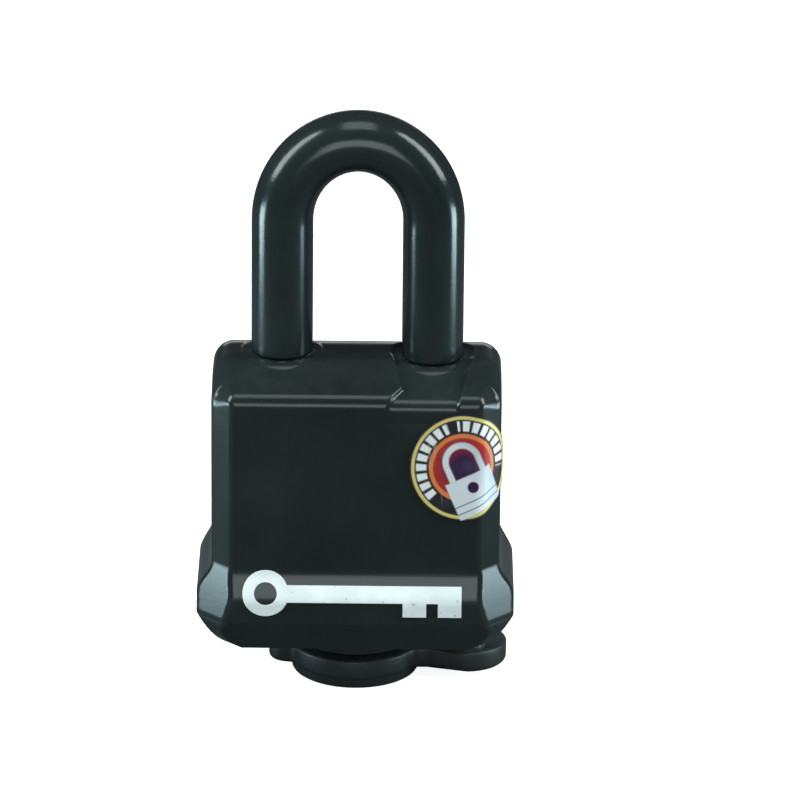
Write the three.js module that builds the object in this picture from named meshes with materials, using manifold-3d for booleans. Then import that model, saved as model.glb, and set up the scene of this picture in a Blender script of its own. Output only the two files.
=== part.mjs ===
// A laminated padlock in a moulded weather jacket. Millimetres, +Z up, front towards -Y.
// The origin is the centre of the flat round boss that the lock stands on.
import * as THREE from "three";
import { mergeVertices } from "three/addons/utils/BufferGeometryUtils.js";
import Module from "manifold-3d";

const wasm = await Module();
wasm.setup();

// ---- driving dimensions ----
const bodyWidth = 40; // laminated block, side to side
const bodyDepth = 22; // laminated block, front to back
const plateThickness = 2.45;
const plateCount = 14;
const plateBevel = 2.2; // corner cut of each plate
const barDiameter = 7; // hardened shackle bar
const sleeveWall = 1.2; // vinyl over the bar
const legSpacing = 23; // between the leg centres
const bowClearance = 29.1; // crest of the jacket to the underside of the sleeved bow
const bowRise = 12.7; // height of the bow's bend on its centre line

const jacketFit = 0.2; // jacket to block, all round
const sideWall = 1.9;
const faceWall = 1.65;
const crownWall = 4.5; // over the block, at the crest
const skirtWide = 2.3; // how far the skirt stands out at the sides
const skirtDeep = 1.3; // how far it stands out at front and back
const skirtChamfer = 4.8;
const skirtBand = 3.2;
const skirtFlare = 5.5;
const rimTuckWide = 4; // rim drawn in below the skirt, at the sides
const rimTuckDeep = 2.1;
const gableDrop = 3.1; // crest down to the front and back edges
const gableEdge = 1.4;
const crestFlat = 4.5;
const shoulderRadius = 3.2;
const scoopDepth = 0.7;
const seatRadius = 6.3;

const coverBoss = 1.3;
const coverThickness = 3.4;
const coverGap = 0.6;
const coverRadius = 10.1;
const coverTab = 6.3;
const coverEar = 3;
const coverLap = 1.1; // the cover reaches past the land that it closes
const earReach = 13.4;
const landHeight = 2.7;
const capThickness = 5.4;
const coverWaist = 4.6; // half width between the cap and its tab
const coverRecess = 7.7; // radius of the hollow over the keyway
const stopHeight = 1.85; // cap's stop beside the cover's ear
const pivotInset = 2.8; // cover pivot from the block's side
const pivotHead = 2.9; // rivet head under the cover
const pivotPocket = 2.3; // pocket in the cap for the rivet's closed end
const washerRadius = 3.6;

const camPlates = 2;
const dogPlates = 2;
const roofPlates = 1;
const engagement = 2.3; // how deep a dog's nose enters its notch
const legGap = 0.3; // nose to leg when drawn back
const runGap = 0.2; // leg in its bore
const collarStep = 0.5;
const collarHeight = 3;
const collarGap = 0.2;
const webThickness = 0.9; // between the heel bore and the cylinder bore
const housingWall = 1.8;
const plugGap = 0.1;
const plugRecess = 0.2;
const keywayHalf = 0.95; // half width of the keyway
const keywayMargin = 1.1; // keyway's end to the plug's skin
const keywayDepth = 17; // from the block's underside
const clipHeight = 0.7;
const grooveDepth = 0.9; // the clip's groove in the plug
const tangHalf = 2; // half width of the plug's tang
const tangThickness = 2;
const pinCount = 4;
const pinRadius = 1.2;
const chamberGap = 0.15;
const towerHalf = 2.2; // half width of the pin tower
const postRadius = 0.8;
const postGap = 0.15;
const dogHalf = 2.6; // half width of a dog's nose
const hookReach = 4.4; // a dog's hook from the middle, front to back
const hookHeight = 2.1;
const hookThickness = 1.6;
const headThickness = 0.9;
const dogGap = 0.2;
const rivetRadius = 1.5;
const rivetInset = 3.2;
const rivetHead = 2.3;
const rivetPocket = 2.7;
const neckRadius = 2.7; // heel leg where the dog holds it raised
const skinGap = 0.05; // under the label and the mark
const skinThickness = 0.25;
const fit = 0.05; // parts that touch on curved faces

// ---- levels ----
const coverTop = coverBoss + coverThickness;
const landEnd = coverTop + coverGap;
const capFace = landEnd + landHeight;
const rimLevel = capFace - 0.3;
const stackBottom = capFace + capThickness;
const plateLevel = (i) => stackBottom + i * plateThickness;
const stackTop = plateLevel(plateCount);
const dogCeiling = plateLevel(plateCount - roofPlates);
const dogFloorPlate = plateCount - roofPlates - dogPlates;
const dogFloor = plateLevel(dogFloorPlate);
const camFloorPlate = dogFloorPlate - camPlates;
const camFloor = plateLevel(camFloorPlate);
const crest = stackTop + crownWall;

// ---- shackle and lock work ----
const barRadius = barDiameter / 2;
const sleeveRadius = barRadius + sleeveWall;
const legX = legSpacing / 2;
const bowTop = crest + bowClearance + sleeveRadius; // centre line at the top of the bow
const bowStart = bowTop - bowRise;
const dogLow = dogFloor + dogGap;
const dogHigh = dogCeiling - dogGap;
const notchLow = dogLow - 0.25;
const toeEnd = notchLow - 2.3;
const lift = crest - toeEnd + 0.3;
const neckLow = dogLow - lift - 0.3;
const neckHigh = dogHigh - lift + 0.3;
const heelEnd = neckLow - collarHeight;
const collarRadius = barRadius + collarStep;
const heelBore = collarRadius + collarGap;
const legBore = barRadius + runGap;
const cylinderBore = legX - heelBore - webThickness;
const housingRadius = cylinderBore - plugGap;
const plugBore = housingRadius - housingWall;
const plugRadius = plugBore - plugGap;
const housingFace = landEnd + 0.4;
const towerEnd = bodyDepth / 2 - 1.2;
const dogStroke = engagement + legGap;
const noseRest = legX - barRadius - legGap;
const notchFloor = noseRest + dogStroke + 0.15;
const camThrow = dogStroke / Math.SQRT2;
const pivotX = bodyWidth / 2 - pivotInset;
const rivetX = bodyWidth / 2 - rivetInset;
const rivetY = bodyDepth / 2 - rivetInset;
const halfWidth = bodyWidth / 2 + jacketFit + sideWall;
const halfDepth = bodyDepth / 2 + jacketFit + faceWall;

// ---- shape helpers ----
function solidOf(geometry) {
  const bare = geometry.index ? geometry.toNonIndexed() : geometry.clone();
  bare.deleteAttribute("normal");
  bare.deleteAttribute("uv");
  const merged = mergeVertices(bare, 1e-4);
  return new wasm.Manifold(
    new wasm.Mesh({
      numProp: 3,
      vertProperties: merged.attributes.position.array,
      triVerts: new Uint32Array(merged.index.array),
    }),
  );
}

function geometryOf(solid) {
  const { vertProperties, triVerts } = solid.getMesh();
  const geometry = new THREE.BufferGeometry();
  geometry.setAttribute("position", new THREE.BufferAttribute(vertProperties, 3));
  geometry.setIndex(new THREE.BufferAttribute(triVerts, 1));
  geometry.computeVertexNormals();
  return geometry;
}

// A flat shape raised from level low to level high.
function prism(shape, low, high, curveSegments = 6) {
  const options = { depth: high - low, bevelEnabled: false, curveSegments };
  return solidOf(new THREE.ExtrudeGeometry(shape, options).translate(0, 0, low));
}

function disc(radius, low, high, x = 0, y = 0, sides = 16) {
  const geometry = new THREE.CylinderGeometry(radius, radius, high - low, sides);
  return solidOf(geometry.rotateX(Math.PI / 2).translate(x, y, (low + high) / 2));
}

// A round bar along +Y.
function pinBar(radius, from, to, z, sides = 8) {
  const geometry = new THREE.CylinderGeometry(radius, radius, to - from, sides);
  return solidOf(geometry.translate(0, (from + to) / 2, z));
}

function block(x0, x1, y0, y1, z0, z1) {
  const geometry = new THREE.BoxGeometry(x1 - x0, y1 - y0, z1 - z0);
  return solidOf(geometry.translate((x0 + x1) / 2, (y0 + y1) / 2, (z0 + z1) / 2));
}

// A turned piece about Z: the profile runs from low to high, as [radius, level] pairs.
function turned(profile, sides = 12) {
  const points = profile.map(([r, z]) => new THREE.Vector2(r, z));
  return solidOf(new THREE.LatheGeometry(points, sides).rotateX(Math.PI / 2));
}

const shapeOf = (pairs) => new THREE.Shape(pairs.map(([x, y]) => new THREE.Vector2(x, y)));

// A rectangle with straight cut corners.
function cutRectangle(halfX, halfY, cut) {
  return shapeOf([
    [halfX - cut, -halfY],
    [halfX, cut - halfY],
    [halfX, halfY - cut],
    [halfX - cut, halfY],
    [cut - halfX, halfY],
    [-halfX, halfY - cut],
    [-halfX, cut - halfY],
    [cut - halfX, -halfY],
  ]);
}

// A closed skin through rings of equally many points, lowest ring first.
function loft(rings) {
  const count = rings[0].length;
  const faces = [];
  for (let k = 1; k < rings.length; k++) {
    for (let i = 0; i < count; i++) {
      const j = (i + 1) % count;
      faces.push(rings[k - 1][i], rings[k - 1][j], rings[k][j]);
      faces.push(rings[k - 1][i], rings[k][j], rings[k][i]);
    }
  }
  const lowest = rings[0];
  const highest = rings[rings.length - 1];
  for (let i = 1; i < count - 1; i++) {
    faces.push(lowest[0], lowest[i + 1], lowest[i]);
    faces.push(highest[0], highest[i], highest[i + 1]);
  }
  const geometry = new THREE.BufferGeometry();
  geometry.setAttribute("position", new THREE.Float32BufferAttribute(faces.flat(), 3));
  return solidOf(geometry);
}

// A coil spring about Z.
class Helix extends THREE.Curve {
  constructor(radius, low, high, turns) {
    super();
    Object.assign(this, { radius, low, high, turns });
  }
  getPoint(t, target = new THREE.Vector3()) {
    const angle = 2 * Math.PI * this.turns * t;
    const z = this.low + (this.high - this.low) * t;
    return target.set(this.radius * Math.cos(angle), this.radius * Math.sin(angle), z);
  }
}

function coil(radius, wire, low, high, pitch) {
  const turns = Math.max(2, Math.round((high - low) / pitch));
  const path = new Helix(radius, low + wire, high - wire, turns);
  const section = new THREE.Shape().absarc(0, 0, wire, 0, 2 * Math.PI);
  const options = { steps: turns * 9, curveSegments: 2, extrudePath: path };
  return solidOf(new THREE.ExtrudeGeometry(section, options));
}

// The shackle's centre line: straight heel leg, half an ellipse, straight toe leg.
class ShackleLine extends THREE.Curve {
  constructor(heelLevel, toeLevel, bendSteps) {
    super();
    Object.assign(this, { heelLevel, toeLevel, steps: bendSteps + 2 });
  }
  getPoint(t, target = new THREE.Vector3()) {
    const place = t * this.steps;
    if (place <= 1) return target.set(-legX, 0, this.heelLevel + (bowStart - this.heelLevel) * place);
    if (place >= this.steps - 1) {
      const down = place - this.steps + 1;
      return target.set(legX, 0, bowStart + (this.toeLevel - bowStart) * down);
    }
    const angle = (Math.PI * (place - 1)) / (this.steps - 2);
    return target.set(-legX * Math.cos(angle), 0, bowStart + bowRise * Math.sin(angle));
  }
  getPointAt(u, target) {
    return this.getPoint(u, target);
  }
  getTangentAt(u, target) {
    return this.getTangent(u, target);
  }
  getSpacedPoints(steps) {
    return this.getPoints(steps);
  }
}

function shackleSweep(radius, bore, heelLevel, toeLevel, bendSteps, curveSegments) {
  const section = new THREE.Shape().absarc(0, 0, radius, 0, 2 * Math.PI);
  if (bore) section.holes.push(new THREE.Path().absarc(0, 0, bore, 0, 2 * Math.PI, true));
  const path = new ShackleLine(heelLevel, toeLevel, bendSteps);
  const options = { steps: path.steps, curveSegments, extrudePath: path };
  return solidOf(new THREE.ExtrudeGeometry(section, options));
}

// ---- materials ----
const finish = (color, roughness, metalness) =>
  new THREE.MeshStandardMaterial({ color, roughness, metalness });
const moulded = finish(0x1d2323, 0.3, 0);
const vinyl = finish(0x171b1b, 0.22, 0);
const rubbery = finish(0x1c1918, 0.55, 0);
const steel = finish(0x9a9c9d, 0.35, 1);
const hardSteel = finish(0x74777a, 0.28, 1);
const brass = finish(0xb89352, 0.32, 1);
const springWire = finish(0xc2c4c6, 0.25, 1);
const printed = finish(0xb33a26, 0.35, 0);
const whiteInk = finish(0xe9efef, 0.4, 0);

const padlock = new THREE.Group();

function place(name, solid, material, parent = padlock) {
  const mesh = new THREE.Mesh(geometryOf(solid), material);
  mesh.name = name;
  parent.add(mesh);
  return mesh;
}

// ---- weather jacket ----
const bandLow = rimLevel + skirtChamfer;
const bandHigh = bandLow + skirtBand;
const flareEnd = bandHigh + skirtFlare;

// How far the skirt stands out at a level, from 0 on the body to 1 on the band.
function skirtGrowth(z) {
  if (z <= bandHigh) return 1;
  if (z >= flareEnd) return 0;
  const down = (flareEnd - z) / skirtFlare;
  return down * down * (3 - 2 * down);
}

// One corner of the jacket: a wide facet with both of its edges eased.
function jacketRing(z, halfX, halfY, facet) {
  const ease = 0.22;
  const corner = [
    [halfX, facet * (1 + ease)],
    [halfX - facet * ease * 0.35, facet * (1 - ease)],
    [halfX - facet * (1 - ease), facet * ease * 0.35],
    [halfX - facet * (1 + ease), 0],
  ].map(([x, y]) => [x, halfY - y]);
  const mirrored = (sx, sy) => corner.map(([x, y]) => [sx * x, sy * y, z]);
  return [
    ...mirrored(1, 1),
    ...mirrored(-1, 1).reverse(),
    ...mirrored(-1, -1),
    ...mirrored(1, -1).reverse(),
  ];
}

// The jacket's outer skin, grown by a margin for what lies on it.
function jacketSkin(margin) {
  const levels = [rimLevel, bandLow, bandHigh];
  for (const share of [0.18, 0.36, 0.54, 0.75, 1]) levels.push(bandHigh + share * skirtFlare);
  levels.push(crest + 1);
  const rings = levels.map((z) => {
    const growth = skirtGrowth(z);
    const tuck = z === rimLevel ? 1 : 0;
    const halfX = halfWidth + skirtWide * growth - rimTuckWide * tuck + margin;
    const halfY = halfDepth + skirtDeep * growth - rimTuckDeep * tuck + margin;
    return jacketRing(z, halfX, halfY, 2.9 + 1.6 * growth - 1.2 * tuck);
  });
  return loft(rings);
}

// Front to back the top is a low gable with soft edges, and its shoulders are round.
function crownSolid(drop, margin) {
  const edge = halfDepth + margin;
  const top = crest + margin - drop;
  const gable = new THREE.Shape();
  gable.moveTo(-edge - 5, 0);
  gable.lineTo(edge + 5, 0);
  gable.lineTo(edge + 5, flareEnd);
  gable.lineTo(edge, flareEnd);
  gable.lineTo(edge, top - gableDrop - gableEdge);
  gable.quadraticCurveTo(edge, top - gableDrop, edge - gableEdge, top - gableDrop + 0.35);
  gable.lineTo(crestFlat, top - 0.15);
  gable.quadraticCurveTo(0, top + 0.15, -crestFlat, top - 0.15);
  gable.lineTo(gableEdge - edge, top - gableDrop + 0.35);
  gable.quadraticCurveTo(-edge, top - gableDrop, -edge, top - gableDrop - gableEdge);
  gable.lineTo(-edge, flareEnd);
  gable.lineTo(-edge - 5, flareEnd);
  const wide = halfWidth + skirtWide + 5;
  const ridge = new THREE.ExtrudeGeometry(gable, { depth: 2 * wide, bevelEnabled: false, curveSegments: 4 });
  ridge.translate(0, 0, -wide).rotateX(Math.PI / 2).rotateZ(Math.PI / 2);

  const side = halfWidth + margin;
  const shoulders = new THREE.Shape();
  shoulders.moveTo(-wide, 0);
  shoulders.lineTo(wide, 0);
  shoulders.lineTo(wide, flareEnd);
  shoulders.lineTo(side, flareEnd);
  shoulders.absarc(side - shoulderRadius, top - shoulderRadius, shoulderRadius, 0, Math.PI / 2);
  shoulders.absarc(shoulderRadius - side, top - shoulderRadius, shoulderRadius, Math.PI / 2, Math.PI);
  shoulders.lineTo(-side, flareEnd);
  shoulders.lineTo(-wide, flareEnd);
  const deep = halfDepth + skirtDeep + 5;
  const across = new THREE.ExtrudeGeometry(shoulders, { depth: 2 * deep, bevelEnabled: false, curveSegments: 5 });
  across.translate(0, 0, -deep).rotateX(Math.PI / 2);
  return solidOf(ridge).intersect(solidOf(across));
}

// The toe leg stands in a shallow round scoop that drains to the front edge.
function scoopOutline() {
  const drain = shapeOf([
    [legX - seatRadius * 0.94, -seatRadius * 0.35],
    [legX - seatRadius * 0.72, -halfDepth + 3],
    [legX - seatRadius * 1.57, -halfDepth - 4],
    [legX + seatRadius * 0.5, -halfDepth - 4],
    [legX + seatRadius * 0.94, -seatRadius * 0.35],
  ]);
  const low = stackTop - 6;
  const high = crest + 6;
  return prism(drain, low, high).add(disc(seatRadius, low, high, legX, 0, 20));
}

const jacketOuter = (margin) => jacketSkin(margin).intersect(crownSolid(0, margin));

function jacketSolid() {
  const scoop = scoopOutline().subtract(crownSolid(scoopDepth, 0));
  const cavity = cutRectangle(bodyWidth / 2 + jacketFit, bodyDepth / 2 + jacketFit, plateBevel);
  let shell = jacketOuter(0).subtract(scoop);
  shell = shell.subtract(prism(cavity, rimLevel - 1, stackTop + 0.1));
  for (const x of [-legX, legX]) {
    shell = shell.subtract(disc(legBore + fit, stackTop - 1, crest + 2, x, 0, 16));
  }
  return shell;
}

place("jacket", jacketSolid(), moulded);

// ---- bottom cap ----
function capSolid() {
  const edge = 0.15;
  const outline = cutRectangle(bodyWidth / 2 + jacketFit - edge, bodyDepth / 2 + jacketFit - edge, plateBevel);
  let cap = prism(outline, capFace, stackBottom - fit);
  cap = cap.add(disc(coverRadius - coverLap, landEnd, capFace + 1, 0, 0, 24));
  cap = cap.add(disc(pivotInset, landEnd, capFace + 1, pivotX, 0, 16));
  const stop = block(-earReach - 0.6, -earReach + 2.6, coverEar + 0.25, coverEar + 0.25 + stopHeight, coverBoss + 0.9, capFace + 1);
  cap = cap.add(stop);
  cap = cap.subtract(disc(housingRadius + 0.2, 0, stackBottom + 1, 0, 0, 20));
  cap = cap.subtract(disc(rivetRadius + 0.1, 0, stackBottom + 1, pivotX, 0, 10));
  cap = cap.subtract(disc(pivotPocket, stackBottom - 1.7, stackBottom + 1, pivotX, 0, 10));
  for (const x of [-rivetX, rivetX]) {
    for (const y of [-rivetY, rivetY]) {
      cap = cap.subtract(disc(rivetPocket, stackBottom - 1.2, stackBottom + 1, x, y, 8));
    }
  }
  return cap;
}

place("bottom_cap", capSolid(), moulded);

// ---- laminations ----
function plateSolid(i) {
  const outline = cutRectangle(bodyWidth / 2, bodyDepth / 2, plateBevel);
  let plate = prism(outline, plateLevel(i), plateLevel(i + 1));
  const low = plateLevel(i) - 1;
  const high = plateLevel(i + 1) + 1;
  const openings = [];
  for (const x of [-rivetX, rivetX]) {
    for (const y of [-rivetY, rivetY]) openings.push(disc(rivetRadius + 0.1, low, high, x, y, 6));
  }
  if (i < camFloorPlate) {
    openings.push(disc(cylinderBore, low, high, 0, 0, 20));
    openings.push(block(-towerHalf - 0.1, towerHalf + 0.1, 0, towerEnd + 0.1, low, high));
  } else if (i < dogFloorPlate) {
    openings.push(disc(cylinderBore - 0.4, low, high, 0, 0, 16));
  } else if (i < plateCount - roofPlates) {
    openings.push(block(-noseRest - dogGap, noseRest + dogGap, -hookReach - dogGap, hookReach + dogGap, low, high));
    openings.push(block(-legX, legX, -dogHalf - dogGap, dogHalf + dogGap, low, high));
  }
  if (i > 0) openings.push(disc(i < dogFloorPlate ? heelBore : legBore, low, high, -legX, 0, 12));
  if (plateLevel(i + 1) > toeEnd - 1) openings.push(disc(legBore, low, high, legX, 0, 12));
  for (const opening of openings) plate = plate.subtract(opening);
  return plate;
}

for (let i = 0; i < plateCount; i++) {
  place("lamination_" + String(i + 1).padStart(2, "0"), plateSolid(i), steel);
}

// ---- stack rivets ----
for (const [side, x] of [["left", -rivetX], ["right", rivetX]]) {
  for (const [face, y] of [["front", -rivetY], ["back", rivetY]]) {
    const rivet = turned([
      [0, stackBottom - 0.95],
      [rivetHead, stackBottom - 0.95],
      [rivetHead, stackBottom - fit],
      [rivetRadius, stackBottom - fit],
      [rivetRadius, stackTop - fit],
      [0, stackTop - fit],
    ], 6);
    place("stack_rivet_" + side + "_" + face, rivet, hardSteel).position.set(x, y, 0);
  }
}

// ---- cylinder housing and its pins ----
const pinLevels = [];
const pinPitch = (camFloor - stackBottom - 4) / pinCount;
for (let k = 0; k < pinCount; k++) pinLevels.push(stackBottom + 2.4 + (k + 0.25) * pinPitch);
const driverStart = plugRadius + 0.25;
const chamberEnd = towerEnd - 0.5;
const driverEnd = driverStart + (chamberEnd - driverStart) * 0.46;

function housingSolid() {
  let housing = disc(housingRadius, housingFace, camFloor, 0, 0, 20);
  housing = housing.add(block(-towerHalf, towerHalf, 0, towerEnd, stackBottom + fit, camFloor));
  housing = housing.subtract(disc(plugBore, housingFace - 1, camFloor + 1, 0, 0, 20));
  for (const z of pinLevels) {
    housing = housing.subtract(pinBar(pinRadius + chamberGap, 0, chamberEnd, z));
  }
  return housing;
}

place("cylinder_housing", housingSolid(), brass);

pinLevels.forEach((z, k) => {
  place("driver_pin_" + (k + 1), pinBar(pinRadius, driverStart, driverEnd, z), brass);
  const spring = coil(pinRadius - 0.3, 0.2, driverEnd + fit, chamberEnd - fit, 0.75);
  const mesh = place("pin_spring_" + (k + 1), spring, springWire);
  mesh.rotation.x = -Math.PI / 2; // its axis turns from +Z to +Y
  mesh.position.z = z;
});

// ---- plug, drawn turned to its open position ----
const plugGroup = new THREE.Group();
plugGroup.rotation.z = Math.PI / 2;
padlock.add(plugGroup);
const clipLow = camFloor + 0.1;
const plugTop = clipLow + clipHeight + 0.9;
const camLow = plugTop + fit;
const camHigh = dogFloor - 0.25;

function plugSolid() {
  const face = housingFace + plugRecess;
  let plug = disc(plugRadius, face, plugTop, 0, 0, 20);
  plug = plug.add(block(-tangHalf, tangHalf, -tangThickness / 2, tangThickness / 2, plugTop - 1, plugTop + 1.4));
  const groove = disc(plugRadius + 1, clipLow - fit, clipLow + clipHeight + fit, 0, 0, 20);
  plug = plug.subtract(groove.subtract(disc(plugRadius - grooveDepth, clipLow - 1, clipLow + 2, 0, 0, 20)));
  plug = plug.subtract(block(-keywayHalf, keywayHalf, keywayMargin - plugRadius, plugRadius - keywayMargin, face - 1, stackBottom + keywayDepth));
  for (const z of pinLevels) {
    plug = plug.subtract(pinBar(pinRadius + chamberGap, 0, plugRadius + 1, z));
  }
  return plug;
}

function clipSolid() {
  const ring = disc(plugRadius + 1.1, clipLow, clipLow + clipHeight, 0, 0, 20);
  const inner = disc(plugRadius - grooveDepth + 0.1, clipLow - 1, clipLow + 2, 0, 0, 20);
  const mouth = block(-plugRadius - 2, 0, -2.2, 2.2, clipLow - 1, clipLow + 2);
  return ring.subtract(inner).subtract(mouth);
}

place("plug", plugSolid(), brass, plugGroup);
place("plug_clip", clipSolid(), springWire, plugGroup);
const shearLine = Math.sqrt(plugRadius ** 2 - pinRadius ** 2) - 0.08;
pinLevels.forEach((z, k) => {
  const tip = 0.5 + 0.3 * (k % 2);
  place("key_pin_" + (k + 1), pinBar(pinRadius, tip, shearLine, z), brass, plugGroup);
});

// ---- cam: two posts draw the dogs in as the plug turns ----
function camSolid() {
  let cam = disc(plugRadius + 0.2, camLow, camHigh, 0, 0, 20);
  cam = cam.subtract(block(-tangThickness / 2 - 0.1, tangThickness / 2 + 0.1, -tangHalf - 0.1, tangHalf + 0.1, camLow - 1, plugTop + 1.5));
  for (const side of [-1, 1]) {
    const x = (-side * camThrow) / Math.SQRT2;
    const y = (side * camThrow) / Math.SQRT2;
    cam = cam.add(disc(postRadius, camHigh - 0.5, dogLow + hookHeight - 0.05, x, y, 12));
  }
  return cam;
}

place("cam", camSolid(), hardSteel);

// ---- locking dogs ----
const hookFace = camThrow / Math.SQRT2 + postRadius + postGap;
const hookEnd = hookFace + hookThickness;
const headFace = noseRest - dogStroke - 0.1;
const headBack = headFace - headThickness;

// The toe side's dog. Half a turn about Z makes the heel side's.
function dogSolid() {
  const hookTop = dogLow + hookHeight;
  let dog = block(headFace - 0.3, noseRest, -dogHalf, dogHalf, dogLow, dogHigh);
  dog = dog.add(block(headBack, headFace, -hookReach, hookReach, dogLow, dogHigh));
  dog = dog.add(block(-hookEnd, headFace, hookReach - 1.4, hookReach, dogLow, hookTop));
  dog = dog.add(block(-hookEnd, -hookFace, 0.3, hookReach, dogLow, hookTop));
  const otherHook = block(-noseRest, hookEnd + 0.25, -5, 0.1, dogLow - 1, hookTop + 0.1);
  return dog.subtract(otherHook);
}

place("dog_toe", dogSolid(), hardSteel);
place("dog_heel", dogSolid(), hardSteel).rotation.z = Math.PI;

const dogSpringLevel = (dogLow + hookHeight + dogHigh) / 2;
const dogSpring = place("dog_spring", coil(0.85, 0.2, fit - headBack, headBack - fit, 1.15), springWire);
dogSpring.rotation.y = Math.PI / 2;
dogSpring.position.z = dogSpringLevel;

// ---- shackle ----
function barSolid() {
  let bar = shackleSweep(barRadius, 0, heelEnd, toeEnd, 22, 6);
  bar = bar.add(disc(collarRadius, heelEnd, neckLow, -legX, 0, 16));
  const sleeve = disc(barRadius + 1, neckLow, neckHigh, -legX, 0, 12);
  bar = bar.subtract(sleeve.subtract(disc(neckRadius, neckLow - 1, neckHigh + 1, -legX, 0, 12)));
  bar = bar.subtract(block(-notchFloor, 0, -5, 5, neckLow, neckHigh));
  for (const [from, to] of [[-notchFloor, 0], [0, notchFloor]]) {
    bar = bar.subtract(block(from, to, -5, 5, notchLow, dogHigh + 0.25));
  }
  return bar;
}

place("shackle_bar", barSolid(), hardSteel);
const sleeveHeel = crest + 0.15;
const sleeveToe = crest + 0.15 - scoopDepth;
place(
  "shackle_sleeve",
  shackleSweep(sleeveRadius, barRadius + 0.12, sleeveHeel, sleeveToe, 22, 8),
  vinyl,
);
const heelSpring = coil(collarRadius - 1.2, 0.4, plateLevel(1) + fit, heelEnd - fit, 2.1);
place("shackle_spring", heelSpring, springWire).position.x = -legX;

// ---- keyway cover ----
function coverSolid() {
  const plate = [coverBoss, coverTop];
  let cover = disc(coverRadius, ...plate, 0, 0, 28);
  cover = cover.add(disc(coverTab, ...plate, pivotX, 0, 20));
  cover = cover.add(block(0, pivotX, -coverWaist, coverWaist, ...plate));
  cover = cover.add(disc(coverEar, ...plate, coverEar - earReach, 0, 12));
  cover = cover.add(block(coverEar - earReach, 0, -coverEar, coverEar, ...plate));
  cover = cover.add(disc(coverRadius - 0.25, 0, coverBoss + 0.5, 0, 0, 28));
  cover = cover.subtract(disc(coverRecess, coverBoss + 0.3, coverTop + 1, 0, 0, 20));
  return cover.subtract(disc(rivetRadius + 0.15, 0, coverTop + 1, pivotX, 0, 12));
}

place("keyway_cover", coverSolid(), rubbery);

const pivotRivet = turned([
  [0, coverBoss - 0.9],
  [pivotHead, coverBoss - 0.9],
  [pivotHead, coverBoss - fit],
  [rivetRadius, coverBoss - fit],
  [rivetRadius, stackBottom - 1.6],
  [pivotPocket - 0.2, stackBottom - 1.6],
  [pivotPocket - 0.2, stackBottom - 0.6],
  [0, stackBottom - 0.6],
]);
place("cover_rivet", pivotRivet, steel).position.x = pivotX;

const washer = turned([
  [rivetRadius + 0.2, coverTop + fit],
  [washerRadius, coverTop + fit],
  [washerRadius, landEnd - fit],
  [rivetRadius + 0.2, landEnd - fit],
  [rivetRadius + 0.2, coverTop + fit],
]);
place("cover_washer", washer, springWire).position.x = pivotX;

// ---- label and mark, thin skins on the jacket ----
// What a flat outline in X and Z covers on the jacket's front.
function onFront(shape, curveSegments = 8) {
  const depth = halfDepth + skirtDeep + 2;
  const cutter = new THREE.ExtrudeGeometry(shape, { depth, bevelEnabled: false, curveSegments });
  const skin = jacketOuter(skinGap + skinThickness).subtract(jacketOuter(skinGap));
  return skin.intersect(solidOf(cutter.rotateX(Math.PI / 2)));
}

const labelRadius = 8.2;
const labelX = halfWidth - 5.8;
const labelZ = crest - 14;
function labelSolid() {
  const outline = new THREE.Shape().absellipse(labelX, labelZ, labelRadius, labelRadius * 1.06, 0, 2 * Math.PI);
  const front = block(0, 2 * halfWidth, -2 * halfDepth, 4 - halfDepth, 0, crest);
  return onFront(outline, 14).intersect(front);
}

place("label", labelSolid(), printed);

const markLow = bandLow + 1.5;
const markHeight = 7;
const markLeft = -17.2;
const markRight = 16.3;

// A key lying on its side: a round bow with a hole, a shank and two bits.
function markOutline() {
  const bow = markHeight / 2;
  const middle = markLow + bow;
  const shank = markHeight * 0.18;
  const key = new THREE.Shape();
  const turn = Math.asin(shank / bow);
  key.absarc(markLeft + bow, middle, bow, turn, 2 * Math.PI - turn);
  for (const x of [markRight - 9, markRight - 3.6]) {
    key.lineTo(x, middle - shank);
    key.lineTo(x, markLow);
    key.lineTo(x + 3.6, markLow);
    if (x + 3.6 < markRight) key.lineTo(x + 3.6, middle - shank);
  }
  key.lineTo(markRight, middle + shank);
  key.holes.push(new THREE.Path().absarc(markLeft + bow, middle, bow * 0.5, 0, 2 * Math.PI, true));
  return key;
}

place("front_mark", onFront(markOutline()), whiteInk);

export default padlock;
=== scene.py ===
import math

import bmesh
import bpy
import numpy as np
from mathutils import Matrix, Vector


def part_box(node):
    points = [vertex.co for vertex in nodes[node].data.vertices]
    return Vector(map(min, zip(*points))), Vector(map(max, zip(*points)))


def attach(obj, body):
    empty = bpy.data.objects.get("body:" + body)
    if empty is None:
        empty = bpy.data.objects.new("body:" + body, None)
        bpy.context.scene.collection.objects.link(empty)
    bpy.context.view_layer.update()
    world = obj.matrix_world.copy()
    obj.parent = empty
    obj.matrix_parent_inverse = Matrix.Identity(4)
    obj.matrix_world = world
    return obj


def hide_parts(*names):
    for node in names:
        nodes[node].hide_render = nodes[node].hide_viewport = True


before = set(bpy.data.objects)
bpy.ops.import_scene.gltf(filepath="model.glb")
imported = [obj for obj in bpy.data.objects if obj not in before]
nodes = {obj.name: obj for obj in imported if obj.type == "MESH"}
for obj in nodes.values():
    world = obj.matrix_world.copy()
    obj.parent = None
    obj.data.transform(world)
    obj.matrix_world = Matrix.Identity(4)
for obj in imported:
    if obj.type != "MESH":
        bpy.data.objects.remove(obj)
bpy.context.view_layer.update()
mm = 0.001
print("frame loaded,", len(nodes), "CAD nodes")


def boxOf(node):
    # lowest and highest corner of a CAD node, in millimetres
    low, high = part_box(node)
    return np.array(low) / mm, np.array(high) / mm


# node helpers
def feed(tree, socket, value):
    if isinstance(value, bpy.types.NodeSocket):
        tree.links.new(value, socket)
    else:
        socket.default_value = value


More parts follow.
